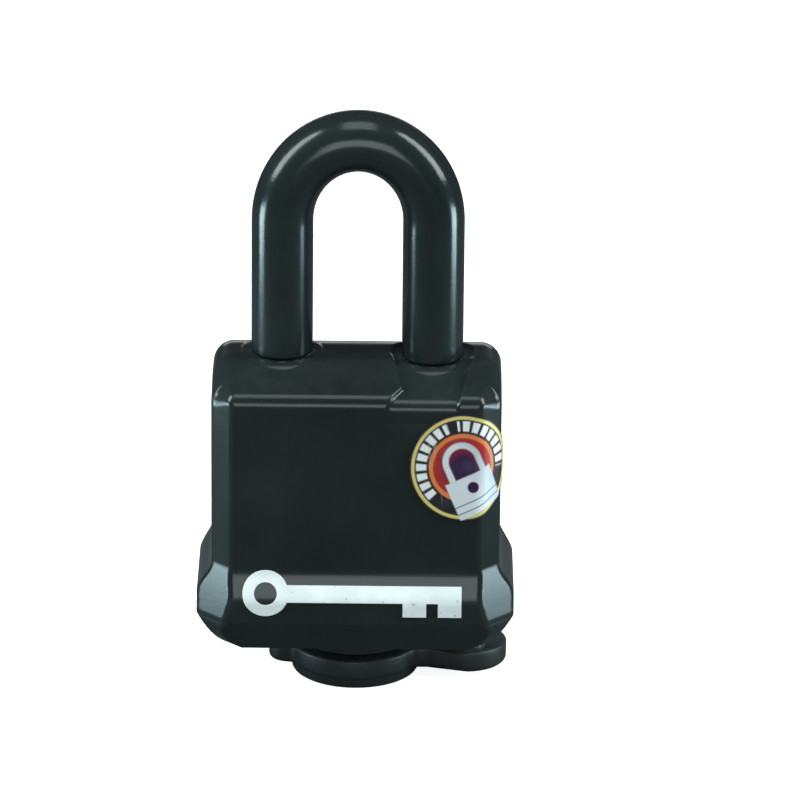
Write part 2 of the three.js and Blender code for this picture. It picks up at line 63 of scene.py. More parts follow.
def addNode(tree, kind, inputs=None, **settings):
    node = tree.nodes.new(kind)
    for name, value in settings.items():
        setattr(node, name, value)
    for name, value in (inputs or {}).items():
        feed(tree, node.inputs[name], value)
    return node


def maths(tree, operation, *values):
    node = tree.nodes.new("ShaderNodeMath")
    node.operation = operation
    for socket, value in zip(node.inputs, values):
        feed(tree, socket, value)
    return node.outputs[0]


def times(tree, first, second):
    return maths(tree, "MULTIPLY", first, second)


def timesPlus(tree, first, second, third):
    return maths(tree, "MULTIPLY_ADD", first, second, third)


def plus(tree, first, second):
    return maths(tree, "ADD", first, second)


def minus(tree, first, second):
    return maths(tree, "SUBTRACT", first, second)


def reach(tree, x, y):
    # distance from the middle of a flat pattern
    return maths(tree, "POWER", plus(tree, times(tree, x, x), times(tree, y, y)), 0.5)


def noiseOf(tree, vector, scale, detail, **more):
    node = addNode(tree, "ShaderNodeTexNoise", {"Vector": vector, "Scale": scale, "Detail": detail, **more})
    return node.outputs["Fac"]


def bumpInto(tree, shader, strength, distance, height):
    bump = addNode(tree, "ShaderNodeBump", {"Strength": strength, "Distance": distance, "Height": height})
    feed(tree, shader["Normal"], bump.outputs[0])


def remap(tree, value, fromLow, fromHigh, toLow=0.0, toHigh=1.0, smooth=False):
    node = tree.nodes.new("ShaderNodeMapRange")
    if smooth:
        node.interpolation_type = "SMOOTHSTEP"
    for name, given in (("Value", value), ("From Min", fromLow), ("From Max", fromHigh),
                        ("To Min", toLow), ("To Max", toHigh)):
        feed(tree, node.inputs[name], given)
    return node.outputs[0]


def mixColours(tree, share, first, second):
    node = tree.nodes.new("ShaderNodeMix")
    node.data_type = "RGBA"
    feed(tree, node.inputs[0], share)
    feed(tree, node.inputs[6], first)
    feed(tree, node.inputs[7], second)
    return node.outputs[2]


def newGroup(name, kind, inputs, outputs):
    tree = bpy.data.node_groups.new(name, kind)
    for label, socketType, value in inputs:
        socket = tree.interface.new_socket(name=label, in_out="INPUT", socket_type=socketType)
        if value is not None:
            socket.default_value = value
    for label, socketType in outputs:
        tree.interface.new_socket(name=label, in_out="OUTPUT", socket_type=socketType)
    return tree, tree.nodes.new("NodeGroupInput").outputs, tree.nodes.new("NodeGroupOutput").inputs


# shared surface effects
def buildGrain():
    # pebbled mould grain and a slow waviness, as one height
    tree, given, out = newGroup("mouldGrain", "ShaderNodeTree", [
        ("Vector", "NodeSocketVector", None), ("Size", "NodeSocketFloat", 1.0),
        ("Wave", "NodeSocketFloat", 0.3)], [("Height", "NodeSocketFloat")])
    perMetre = maths(tree, "DIVIDE", 1000.0, given["Size"])
    fine = noiseOf(tree, given["Vector"], perMetre, 3.0, Roughness=0.6)
    pebble = addNode(tree, "ShaderNodeTexVoronoi", {"Vector": given["Vector"],
                                                    "Scale": times(tree, perMetre, 1.7)})
    slow = noiseOf(tree, given["Vector"], 90.0, 1.0)
    sum1 = timesPlus(tree, pebble.outputs["Distance"], 0.5, fine)
    feed(tree, out["Height"], timesPlus(tree, slow, given["Wave"], sum1))
    return tree


def buildScuffs():
    # hair scratches in two directions, broken up, and soft rubbed patches
    tree, given, out = newGroup("scuffs", "ShaderNodeTree", [
        ("Vector", "NodeSocketVector", None), ("Amount", "NodeSocketFloat", 0.5),
        ("Scale", "NodeSocketFloat", 1.0)],
        [("Scratches", "NodeSocketFloat"), ("Rubbed", "NodeSocketFloat")])
    lines = []
    for turn, stretch in (((0.3, 0.9, 0.4), (900.0, 60.0, 60.0)), ((1.1, -0.5, 1.9), (1100.0, 80.0, 45.0))):
        mapping = addNode(tree, "ShaderNodeMapping", {"Vector": given["Vector"], "Rotation": turn,
                                                      "Scale": stretch})
        noise = noiseOf(tree, mapping.outputs[0], given["Scale"], 2.0, Distortion=0.2)
        lines.append(remap(tree, noise, 0.66, 0.72))
    patches = noiseOf(tree, given["Vector"], 260.0, 4.0)
    broken = times(tree, maths(tree, "MAXIMUM", *lines),
                   remap(tree, patches, 0.45, 0.62))
    soft = noiseOf(tree, given["Vector"], 70.0, 5.0, Roughness=0.65)
    feed(tree, out["Scratches"], times(tree, broken, given["Amount"]))
    feed(tree, out["Rubbed"], times(tree, remap(tree, soft, 0.5, 0.75, smooth=True),
                                    given["Amount"]))
    return tree


def buildEdgeWear():
    # where the surface turns sharply outwards, roughened by noise
    tree, given, out = newGroup("edgeWear", "ShaderNodeTree", [
        ("Vector", "NodeSocketVector", None), ("Start", "NodeSocketFloat", 0.52),
        ("Amount", "NodeSocketFloat", 0.5)], [("Mask", "NodeSocketFloat")])
    bend = addNode(tree, "ShaderNodeNewGeometry").outputs["Pointiness"]
    noise = noiseOf(tree, given["Vector"], 420.0, 4.0)
    start = timesPlus(tree, noise, 0.05, given["Start"])
    sharp = remap(tree, minus(tree, bend, start), 0.0, 0.05, smooth=True)
    feed(tree, out["Mask"], times(tree, sharp, given["Amount"]))
    return tree


def buildDust():
    # settles on what faces up
    tree, given, out = newGroup("dust", "ShaderNodeTree", [
        ("Vector", "NodeSocketVector", None), ("Amount", "NodeSocketFloat", 0.1)],
        [("Mask", "NodeSocketFloat")])
    facing = addNode(tree, "ShaderNodeSeparateXYZ",
                     {"Vector": addNode(tree, "ShaderNodeNewGeometry").outputs["Normal"]}).outputs["Z"]
    cloud = noiseOf(tree, given["Vector"], 180.0, 6.0, Roughness=0.7)
    speck = addNode(tree, "ShaderNodeTexVoronoi", {"Vector": given["Vector"], "Scale": 900.0})
    specks = remap(tree, speck.outputs["Distance"], 0.14, 0.06)
    both = plus(tree, remap(tree, cloud, 0.42, 0.75), times(tree, specks, 0.5))
    up = remap(tree, facing, 0.15, 0.95, smooth=True)
    feed(tree, out["Mask"], times(tree, times(tree, both, up), given["Amount"]))
    return tree


grainGroup, scuffGroup, wearGroup, dustGroup = buildGrain(), buildScuffs(), buildEdgeWear(), buildDust()


def place(tree, group, **inputs):
    node = tree.nodes.new("ShaderNodeGroup")
    node.node_tree = group
    for name, value in inputs.items():
        feed(tree, node.inputs[name], value)
    return node.outputs


def newMaterial(name, metallic=0.0, specular=0.5):
    material = bpy.data.materials.new(name)
    material.use_nodes = True
    tree = material.node_tree
    shader = tree.nodes["Principled BSDF"]
    shader.inputs["Metallic"].default_value = metallic
    shader.inputs["Specular IOR Level"].default_value = specular
    where = tree.nodes.new("ShaderNodeTexCoord").outputs["Object"]
    return material, tree, shader.inputs, where


def plasticFinish(name, base, worn, roughness, grain, grainSize, wave, scuff, wear, dusty, specular=0.5):
    # black moulded plastic: fine grain, hair scratches, rubbed edges and a little dust
    material, tree, shader, where = newMaterial(name, specular=specular)
    marks = place(tree, scuffGroup, Vector=where, Amount=scuff)
    edge = place(tree, wearGroup, Vector=where, Amount=wear)["Mask"]
    powder = place(tree, dustGroup, Vector=where, Amount=dusty)["Mask"]
    tone = noiseOf(tree, where, 55.0, 5.0)
    shade = mixColours(tree, remap(tree, tone, 0.35, 0.7),
                       (*base, 1), (*[c * 1.5 for c in base], 1))
    shade = mixColours(tree, maths(tree, "MAXIMUM", edge, times(tree, marks["Scratches"], 0.6)),
                       shade, (*worn, 1))
    feed(tree, shader["Base Color"], mixColours(tree, powder, shade, (0.30, 0.29, 0.26, 1)))
    rough = timesPlus(tree, tone, 0.12, roughness - 0.06)
    rough = timesPlus(tree, marks["Rubbed"], 0.16, rough)
    rough = timesPlus(tree, plus(tree, powder, marks["Scratches"]), 0.4, rough)
    feed(tree, shader["Roughness"], rough)
    height = place(tree, grainGroup, Vector=where, Size=grainSize, Wave=wave)["Height"]
    height = timesPlus(tree, marks["Scratches"], -0.8, height)
    bumpInto(tree, shader, grain, 0.0001, height)
    return material


def metalFinish(name, base, dull, roughness, stretch, brush, scuff=0.4, tarnish=0.35):
    # brushed or drawn metal: streaks along stretch, tarnish in patches
    material, tree, shader, where = newMaterial(name, metallic=1.0)
    mapping = addNode(tree, "ShaderNodeMapping", {"Vector": where, "Scale": stretch})
    streak = noiseOf(tree, mapping.outputs[0], 1.0, 6.0, Roughness=0.7)
    marks = place(tree, scuffGroup, Vector=where, Amount=scuff)
    cloud = noiseOf(tree, where, 210.0, 7.0, Roughness=0.65)
    stain = times(tree, remap(tree, cloud, 0.45, 0.72, smooth=True), tarnish)
    bright = mixColours(tree, streak, (*[c * 0.86 for c in base], 1), (*[min(1, c * 1.1) for c in base], 1))
    feed(tree, shader["Base Color"], mixColours(tree, stain, bright, (*dull, 1)))
    rough = timesPlus(tree, streak, 0.16, roughness - 0.08)
    rough = timesPlus(tree, stain, 0.3, rough)
    feed(tree, shader["Roughness"], timesPlus(tree, marks["Rubbed"], 0.12, rough))
    height = timesPlus(tree, marks["Scratches"], -0.6, streak)
    bumpInto(tree, shader, brush, 0.00005, height)
    return material


jacketBlack = plasticFinish("jacketBlack", (0.0115, 0.016, 0.0158), (0.03, 0.036, 0.036), 0.2,
                            grain=0.05, grainSize=0.5, wave=1.6, scuff=0.12, wear=0.3, dusty=0.03,
                            specular=0.3)
capBlack = plasticFinish("capBlack", (0.009, 0.011, 0.011), (0.05, 0.052, 0.05), 0.42,
                         grain=0.35, grainSize=0.35, wave=0.2, scuff=0.4, wear=0.4, dusty=0.1)
coverRubber = plasticFinish("coverRubber", (0.0095, 0.0115, 0.011), (0.045, 0.046, 0.044), 0.42,
                            grain=0.4, grainSize=0.3, wave=0.2, scuff=0.3, wear=0.45, dusty=0.12,
                            specular=0.4)
sleeveVinyl = plasticFinish("sleeveVinyl", (0.0108, 0.0155, 0.0155), (0.028, 0.034, 0.033), 0.17,
                            grain=0.08, grainSize=0.6, wave=1.6, scuff=0.12, wear=0.0, dusty=0.015,
                            specular=0.35)
plateSteel = metalFinish("plateSteel", (0.5, 0.51, 0.52), (0.2, 0.17, 0.14), 0.36, (60.0, 60.0, 2600.0),
                         0.5)
rivetSteel = metalFinish("rivetSteel", (0.58, 0.58, 0.57), (0.33, 0.32, 0.29), 0.34,
                         (700.0, 700.0, 700.0), 0.35)
hardSteel = metalFinish("hardenedSteel", (0.4, 0.41, 0.43), (0.17, 0.16, 0.16), 0.24,
                        (900.0, 900.0, 70.0), 0.3,
                        tarnish=0.25)
springSteel = metalFinish("springSteel", (0.6, 0.61, 0.62), (0.3, 0.29, 0.28), 0.22,
                          (400.0, 400.0, 400.0), 0.15)
brassMetal = metalFinish("brass", (0.7, 0.5, 0.22), (0.27, 0.17, 0.08), 0.28, (60.0, 60.0, 1800.0), 0.4)


def printedLabel():
    # rings, a band of plain blocks and a plain padlock sign, drawn from the label's own UV map
    ink = {"gold": (0.82, 0.66, 0.22, 1), "black": (0.012, 0.012, 0.014, 1), "white": (0.9, 0.9, 0.88, 1),
           "orange": (0.75, 0.22, 0.05, 1), "red": (0.42, 0.02, 0.02, 1), "deepRed": (0.03, 0.006, 0.05, 1),
           "silver": (0.8, 0.84, 0.86, 1), "shade": (0.2, 0.22, 0.28, 1)}
    blocks = 27
    material, tree, shader, where = newMaterial("labelPrint")
    uv = addNode(tree, "ShaderNodeUVMap", uv_map="print").outputs[0]
    centred = addNode(tree, "ShaderNodeMapping",
                      {"Vector": uv, "Location": (-1, -1, 0), "Scale": (2, 2, 1)})
    split = addNode(tree, "ShaderNodeSeparateXYZ", {"Vector": centred.outputs[0]})
    u, v = split.outputs["X"], split.outputs["Y"]
    radius = reach(tree, u, v)
    turn = maths(tree, "DIVIDE", maths(tree, "ARCTAN2", v, u), 2 * math.pi)  # -0.5 to 0.5

    def between(value, low, high, soft=0.012):
        return times(tree, remap(tree, value, low - soft, low + soft),
                     remap(tree, value, high + soft, high - soft))

    def bar(x, y, halfWide, halfHigh, soft=0.012):
        outside = maths(tree, "MAXIMUM", minus(tree, maths(tree, "ABSOLUTE", x), halfWide),
                        minus(tree, maths(tree, "ABSOLUTE", y), halfHigh))
        return remap(tree, outside, soft, -soft)

    colour = mixColours(tree, remap(tree, radius, 0.2, 0.5), ink["deepRed"], ink["red"])
    colour = mixColours(tree, between(radius, 0.56, 0.64), colour, ink["orange"])
    colour = mixColours(tree, remap(tree, radius, 0.63, 0.655), colour, ink["black"])
    # blocks of uneven length stand round the black band, left out at lower right
    step = maths(tree, "FRACT", timesPlus(tree, turn, blocks, 100.0))
    gap = maths(tree, "FRACT", timesPlus(tree, turn, 3.1, 10.15))
    onBand = times(tree, between(radius, 0.685, 0.875), between(step, 0.15, 0.83, 0.07))
    onBand = times(tree, onBand, remap(tree, gap, 0.1, 0.13))
    rightHand = remap(tree, turn, -0.02, 0.0)
    leftHand = remap(tree, turn, -0.335, -0.345)
    onBand = times(tree, onBand, maths(tree, "MAXIMUM", rightHand, leftHand))
    colour = mixColours(tree, onBand, colour, ink["white"])
    colour = mixColours(tree, between(radius, 0.905, 0.965), colour, ink["gold"])
    # the sign: a leaning body, a bow over it and a round keyhole
    lean = addNode(tree, "ShaderNodeMapping", {"Vector": centred.outputs[0], "Rotation": (0, 0, -0.42),
                                               "Location": (-0.02, 0.13, 0), "Scale": (0.8, 0.8, 1)})
    sign = addNode(tree, "ShaderNodeSeparateXYZ", {"Vector": lean.outputs[0]})
    sx, sy = sign.outputs["X"], sign.outputs["Y"]
    bodyMask = bar(sx, plus(tree, sy, 0.3), 0.37, 0.29)
    bowY = minus(tree, sy, 0.22)
    bowRadius = reach(tree, sx, bowY)
    bowArch = times(tree, between(bowRadius, 0.2, 0.29), remap(tree, bowY, -0.01, 0.01))
    bowLegs = bar(minus(tree, maths(tree, "ABSOLUTE", sx), 0.245),
                  minus(tree, sy, 0.1), 0.045, 0.13)
    bowMask = maths(tree, "MAXIMUM", bowArch, bowLegs)
    plates = maths(tree, "FRACT", timesPlus(tree, sy, 9.0, 20.0))
    silver = mixColours(tree, times(tree, between(plates, 0.42, 0.58, 0.05),
                                    remap(tree, sy, -0.3, -0.35)), ink["silver"], ink["shade"])
    silver = mixColours(tree, remap(tree, sx, 0.0, 0.45, 0.0, 0.5), silver, ink["shade"])
    colour = mixColours(tree, maths(tree, "MAXIMUM", bodyMask, bowMask), colour, silver)
    hole = reach(tree, sx, plus(tree, sy, 0.2))
    colour = mixColours(tree, remap(tree, hole, 0.095, 0.075), colour, ink["deepRed"])
    marks = place(tree, scuffGroup, Vector=where, Amount=0.3)
    fade = noiseOf(tree, where, 380.0, 5.0)
    colour = mixColours(tree, times(tree, remap(tree, fade, 0.5, 0.8), 0.14), colour, ink["shade"])
    feed(tree, shader["Base Color"], mixColours(tree, marks["Scratches"], colour, (0.5, 0.5, 0.5, 1)))
    metal = maths(tree, "MAXIMUM", between(radius, 0.905, 0.965), maths(tree, "MAXIMUM", bodyMask, bowMask))
    feed(tree, shader["Metallic"], times(tree, metal, 0.15))
    feed(tree, shader["Roughness"], timesPlus(tree, fade, 0.2, 0.22))
    paper = noiseOf(tree, where, 2400.0, 3.0)
    raised = timesPlus(tree, onBand, 0.5, times(tree, paper, 0.4))
    bumpInto(tree, shader, 0.25, 0.00004, raised)
    return material


def whiteInk():
    # screen printed white, slightly mottled and worn through in specks
    material, tree, shader, where = newMaterial("whiteInk")
    cloud = noiseOf(tree, where, 240.0, 6.0)
    speck = noiseOf(tree, where, 1500.0, 4.0)
    shade = mixColours(tree, remap(tree, cloud, 0.35, 0.75), (0.88, 0.93, 0.92, 1), (0.74, 0.8, 0.79, 1))
    worn = times(tree, remap(tree, speck, 0.66, 0.74), 0.6)
    feed(tree, shader["Base Color"], mixColours(tree, worn, shade, (0.2, 0.22, 0.22, 1)))
    feed(tree, shader["Roughness"], timesPlus(tree, cloud, 0.2, 0.3))
    bumpInto(tree, shader, 0.3, 0.00003, speck)
    return material


labelPrint, markWhite = printedLabel(), whiteInk()
print("materials built")


# mesh helpers
def newObject(name, mesh, material=None):
    obj = bpy.data.objects.new(name, mesh)
    bpy.context.scene.collection.objects.link(obj)
    if material:
        mesh.materials.clear()
        mesh.materials.append(material)
    return obj


def fromPoints(name, points, faces):
    # points in millimetres; doubles are merged and faces turned outwards
    mesh = bpy.data.meshes.new(name)
    mesh.from_pydata((np.asarray(points, float) * mm).tolist(), [], faces)
    work = bmesh.new()
    work.from_mesh(mesh)
    bmesh.ops.remove_doubles(work, verts=work.verts, dist=1e-7)
    bmesh.ops.recalc_face_normals(work, faces=work.faces)
    work.to_mesh(mesh)
    work.free()
    return newObject(name, mesh)


def turnsOf(sides):
    return [2 * math.pi * i / sides for i in range(sides)]


def stackRings(rings):
    # a skin through rings of equally many points; a ring of one point is a pole
    points, faces, start = [], [], []
    for ring in rings:
        start.append(len(points))
        points.extend(ring)
    for k in range(1, len(rings)):
        low, high = start[k - 1], start[k]
        lowCount, highCount = len(rings[k - 1]), len(rings[k])
        for i in range(max(lowCount, highCount)):
            j = (i + 1) % max(lowCount, highCount)
            corners = []
            corners += [low] if lowCount == 1 else [low + i, low + j]
            corners += [high] if highCount == 1 else [high + j, high + i]
            faces.append(corners)
    return points, faces


def turnedPiece(name, profile, sides=64, x=0.0, y=0.0):
    # a solid turned about a line along Z; profile holds (radius, level) pairs
    rings = []
    for radius, level in profile:
        if radius == 0:
            rings.append([(x, y, level)])
        else:
            rings.append([(x + radius * math.cos(turn), y + radius * math.sin(turn), level)
                          for turn in turnsOf(sides)])
    closed = profile[0] == profile[-1]
    points, faces = stackRings(rings)
    obj = fromPoints(name, points, faces)
    if not closed and profile[0][0] and profile[-1][0]:
        work = bmesh.new()
        work.from_mesh(obj.data)
        bmesh.ops.holes_fill(work, edges=work.edges, sides=0)
        bmesh.ops.recalc_face_normals(work, faces=work.faces)
        work.to_mesh(obj.data)
        work.free()
    return obj


def disc(radius, low, high, x=0.0, y=0.0, sides=64):
    return turnedPiece("tool", [(radius, low), (radius, high)], sides=sides, x=x, y=y)


def block(x0, x1, y0, y1, z0, z1):
    corners = [(x, y, z) for z in (z0, z1) for x, y in ((x0, y0), (x1, y0), (x1, y1), (x0, y1))]
    faces = [(3, 2, 1, 0), (4, 5, 6, 7), (0, 1, 5, 4), (1, 2, 6, 5), (2, 3, 7, 6), (3, 0, 4, 7)]
    return fromPoints("tool", corners, faces)


def prism(outline, low, high, axis="Z"):
    # a flat outline raised along Z, or one drawn in X and Z raised along Y
    rings = [[(a, b, level) if axis == "Z" else (a, level, b) for a, b in outline] for level in (low, high)]
    points, faces = stackRings(rings)
    count = len(outline)
    faces += [list(range(count))[::-1], list(range(count, 2 * count))]
    return fromPoints("tool", points, faces)


def bakeModifiers(obj):
    deps = bpy.context.evaluated_depsgraph_get()
    made = bpy.data.meshes.new_from_object(obj.evaluated_get(deps))
    obj.modifiers.clear()
    old, obj.data = obj.data, made
    bpy.data.meshes.remove(old)
    return obj


def carve(obj, tool, how="DIFFERENCE"):
    change = obj.modifiers.new("carve", "BOOLEAN")
    change.operation, change.solver, change.object = how, "EXACT", tool
    bakeModifiers(obj)
    bpy.data.objects.remove(tool)
    return obj


def softEdges(obj, width, angle=32, segments=2):
    # small rounds on every edge sharper than the angle, then smooth shading that keeps them
    work = bmesh.new()
    work.from_mesh(obj.data)
    bmesh.ops.remove_doubles(work, verts=work.verts, dist=1e-7)
    bmesh.ops.dissolve_limit(work, angle_limit=math.radians(0.5), verts=work.verts, edges=work.edges)
    work.to_mesh(obj.data)
    work.free()
    if width:
        bevel = obj.modifiers.new("softEdges", "BEVEL")
        bevel.width, bevel.segments = width * mm, segments
        bevel.limit_method, bevel.angle_limit = "ANGLE", math.radians(angle)
        bevel.use_clamp_overlap = True
        bakeModifiers(obj)
    shadeByAngle(obj, angle)
    return obj


def shadeByAngle(obj, angle=35):
    work = bmesh.new()
    work.from_mesh(obj.data)
    for face in work.faces:
        face.smooth = True
    for edge in work.edges:
        flat = len(edge.link_faces) != 2 or edge.calc_face_angle(4) > math.radians(angle)
        edge.smooth = not flat
    work.to_mesh(obj.data)
    work.free()
    return obj


def finishPiece(obj, name, body, slotName, material, *replaced):
    obj.name = name
    obj.data.name = name
    obj.data.materials.clear()
    obj.data.materials.append(material)
    for polygon in obj.data.polygons:
        polygon.material_index = 0
    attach(obj, body)
    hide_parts(*replaced)
    print("  ", name, len(obj.data.polygons), "faces")
    return obj


# jacket
jacketLow, jacketHigh = boxOf("jacket")
jacket = {
    "halfWidth": 22.1, "halfDepth": 12.85, "crest": float(jacketHigh[2]), "rim": float(jacketLow[2]),
    "skirtWide": 2.3, "skirtDeep": 1.3, "bandLow": 12.5, "bandHigh": 15.7, "flareEnd": 21.2,
    "tuckWide": 4.0, "tuckDeep": 2.1,
    "bodyFacet": 3.1, "bandFacet": 4.3, "rimFacet": 3.0, "facetLow": 13.1, "facetEase": 0.45,
    "crestFlat": 4.5, "gableSlope": 0.374, "frontRound": 1.4, "shoulderRound": 3.2,
    "gableDrop": 0.15, "crestBlend": 0.8, "sideReach": 4.0,
    "scoopDepth": 0.7, "seatRadius": 6.3, "legX": 11.5, "lipRadius": 5.5, "lipHalf": 0.6, "lipHeight": 0.13,
    "drainY": (-16.85, -9.85, -2.2), "drainLeft": (1.61, 6.96, 5.58), "drainRight": (14.65, 17.42),
    "seatBlend": 0.6, "floorBlend": 0.5, "scoopBlend": 0.35, "lipEdge": 0.4, "lipBlend": 0.45,
    "dimple": (0.8, -9.4, 0.75, 0.16), "legHole": 3.85, "rimEase": 0.08,
    "cavityX": 20.2, "cavityY": 11.2, "cavityCut": 2.2, "ceiling": 47.8,
    "coreInset": 6.0, "coreDrop": 7.0, "spacing": 0.26, "cornerSteps": 32, "overSteps": 30,
    "skirtSteps": 44, "wallSteps": 21, "rayLength": 14.0,
}


def roundMax(parts, radius):
    # the largest of the parts, with their meeting edges rounded
    spill = sum(np.maximum(part + radius, 0) ** 2 for part in parts)
    return np.minimum(np.maximum.reduce(parts), -radius) + np.sqrt(spill)


def blendMax(a, b, reach):
    share = np.maximum(reach - np.abs(a - b), 0) / reach
    return np.maximum(a, b) + share * share * reach / 4


def blendMin(a, b, reach):
    return -blendMax(-a, -b, reach)


def skirtGrowth(z):
    down = np.clip((jacket["flareEnd"] - z) / (jacket["flareEnd"] - jacket["bandHigh"]), 0, 1)
    return down * down * (3 - 2 * down)


def wallField(x, y, z):
    # below 0 inside the jacket's side walls; the corners are wide slanting facets
    growth = skirtGrowth(z)
    tuck = np.clip((jacket["bandLow"] - z) / (jacket["bandLow"] - jacket["rim"]), 0, 1)
    wide = jacket["halfWidth"] + jacket["skirtWide"] * growth - jacket["tuckWide"] * tuck
    deep = jacket["halfDepth"] + jacket["skirtDeep"] * growth - jacket["tuckDeep"] * tuck
    body = jacket["halfWidth"] + jacket["halfDepth"] - jacket["bodyFacet"]
    skirt = jacket["halfWidth"] + jacket["skirtWide"] + jacket["halfDepth"] + jacket["skirtDeep"]
    band = skirt - jacket["bandFacet"]
    rim = wide + deep - jacket["rimFacet"]
    rise = np.clip((z - jacket["facetLow"]) / (jacket["flareEnd"] - jacket["facetLow"]), 0, 1)
    reach = band + (body - band) * rise
    reach = np.where(tuck > 0, reach + (rim - reach) * tuck, reach)
    ease = jacket["facetEase"] * (1 - tuck) + jacket["rimEase"] * tuck
    facet = (np.abs(x) + np.abs(y) - reach) * math.sqrt(0.5)
    return roundMax([np.abs(x) - wide, np.abs(y) - deep, facet], ease)


def crownField(x, y, z, lowered=0.0):
    top = jacket["crest"] - lowered
    slope = jacket["gableSlope"]
    gable = (z - top + jacket["gableDrop"] + slope * (np.abs(y) - jacket["crestFlat"])) / math.hypot(1,
                                                                                                     slope)
    crown = blendMax(z - top, gable, jacket["crestBlend"])
    lead = np.abs(x) - jacket["halfWidth"] - np.abs(y) + jacket["halfDepth"]
    sideward = np.clip(0.5 + lead / jacket["sideReach"], 0, 1)
    radius = jacket["frontRound"] + (jacket["shoulderRound"] - jacket["frontRound"]) * sideward
    return roundMax([wallField(x, y, z), crown], radius)


def scoopPlan(x, y):
    # round seat of the toe leg and its drain to the front edge, below 0 inside
    seat = np.hypot(x - jacket["legX"], y) - jacket["seatRadius"]
    front, _, back = jacket["drainY"]
    left = np.interp(y, jacket["drainY"], jacket["drainLeft"])
    right = np.interp(y, [front, back], jacket["drainRight"])
    drain = np.maximum(np.maximum(left - x, x - right), y - back)
    return blendMin(seat, drain, jacket["seatBlend"])


def jacketField(x, y, z):
    field = crownField(x, y, z)
    floor = crownField(x, y, z, jacket["scoopDepth"])
    field = blendMax(field, blendMin(-scoopPlan(x, y), floor, jacket["floorBlend"]), jacket["scoopBlend"])
    for side, lowered in ((-1, 0.0), (1, jacket["scoopDepth"])):
        ring = np.abs(np.hypot(x - side * jacket["legX"], y) - jacket["lipRadius"]) - jacket["lipHalf"]
        lip = blendMax(ring, crownField(x, y, z, lowered - jacket["lipHeight"]), jacket["lipEdge"])
        field = blendMin(field, lip, jacket["lipBlend"])
    markX, markY, markRadius, markDepth = jacket["dimple"]
    spread = ((x - markX) ** 2 + (y - markY) ** 2) / markRadius ** 2
    return field + markDepth * np.exp(-spread) * (z > jacket["crest"] - 6)


def surfaceAlong(start, direction, rayLength, field, level=0.0):
    # where each ray from inside crosses the field's level
    low, high = np.zeros(len(start)), np.full(len(start), float(rayLength))
    for _ in range(34):
        middle = (low + high) / 2
        at = start + direction * middle[:, None]
        inside = field(*at.T) < level
        low, high = np.where(inside, middle, low), np.where(inside, high, middle)
    return start + direction * ((low + high) / 2)[:, None]


def perimeterRays():
    # round the core rectangle: its sides look straight out, its corners fan
    coreX, coreY = jacket["halfWidth"] - jacket["coreInset"], jacket["halfDepth"] - jacket["coreInset"]
    alongX = np.linspace(-coreX, coreX, round(2 * coreX / jacket["spacing"]) + 1)
    alongY = np.linspace(-coreY, coreY, round(2 * coreY / jacket["spacing"]) + 1)
    fan = np.linspace(0, math.pi / 2, jacket["cornerSteps"] + 1)[1:-1]
    rays = []
    for turn, steps, out, across in ((-math.pi / 2, alongX, coreY, coreX), (0, alongY, coreX, coreY),
                                     (math.pi / 2, alongX, coreY, coreX), (math.pi, alongY, coreX, coreY)):
        cos, sin = math.cos(turn), math.sin(turn)
        for step in steps:
            rays.append((out * cos - step * sin, out * sin + step * cos, cos, sin))
        for angle in fan:
            rays.append((out * cos - across * sin, out * sin + across * cos,
                         math.cos(turn + angle), math.sin(turn + angle)))
    return np.array(rays), alongX, alongY


def buildJacket():
    rays, alongX, alongY = perimeterRays()
    count = len(rays)
    coreTop = jacket["crest"] - jacket["coreDrop"]
    flareTop, far = jacket["flareEnd"] + 1, jacket["rayLength"]
    levels = list(np.linspace(jacket["rim"], flareTop, jacket["skirtSteps"]))
    levels += list(np.linspace(flareTop, coreTop, jacket["wallSteps"]))[1:]
    flat = np.c_[rays[:, 2:], np.zeros(count)]
    rings = [surfaceAlong(np.c_[rays[:, :2], np.full(count, z)], flat, far, wallField)
             for z in levels[:-1]]
    start = np.c_[rays[:, :2], np.full(count, coreTop)]
    for over in np.linspace(0, math.pi / 2, jacket["overSteps"] + 1):
        way = np.c_[rays[:, 2:] * math.cos(over), np.full(count, math.sin(over))]
        rings.append(surfaceAlong(start, way, far, jacketField))

    def cavity(x, y, z):
        pastX, pastY = np.abs(x) - jacket["cavityX"], np.abs(y) - jacket["cavityY"]
        cut = (pastX + pastY + jacket["cavityCut"]) * math.sqrt(0.5)
        return np.maximum(np.maximum(pastX, pastY), cut)

    inner = surfaceAlong(np.c_[rays[:, :2], np.full(count, jacket["rim"])], flat, far, cavity)
    ceiling = inner.copy()
    ceiling[:, 2] = jacket["ceiling"]
    points, faces = stackRings([ceiling, inner] + rings)
    faces.append(list(range(count)))
    # the top inside the core rectangle
    offset = len(points)
    gridX, gridY = np.meshgrid(alongX, alongY)
    base = np.c_[gridX.ravel(), gridY.ravel(), np.full(gridX.size, coreTop)]
    top = surfaceAlong(base, np.tile([0.0, 0.0, 1.0], (len(base), 1)), far, jacketField)
    points.extend(top)
    across = len(alongX)
    for row in range(len(alongY) - 1):
        for column in range(across - 1):
            corner = offset + row * across + column
            faces.append([corner, corner + 1, corner + across + 1, corner + across])
    obj = fromPoints("weather_jacket", np.array(points), faces)
    for side in (-1, 1):
        hole = disc(jacket["legHole"], jacket["ceiling"] - 3, jacket["crest"] + 3,
                    side * jacket["legX"], 0, 72)
        carve(obj, hole)
    return obj


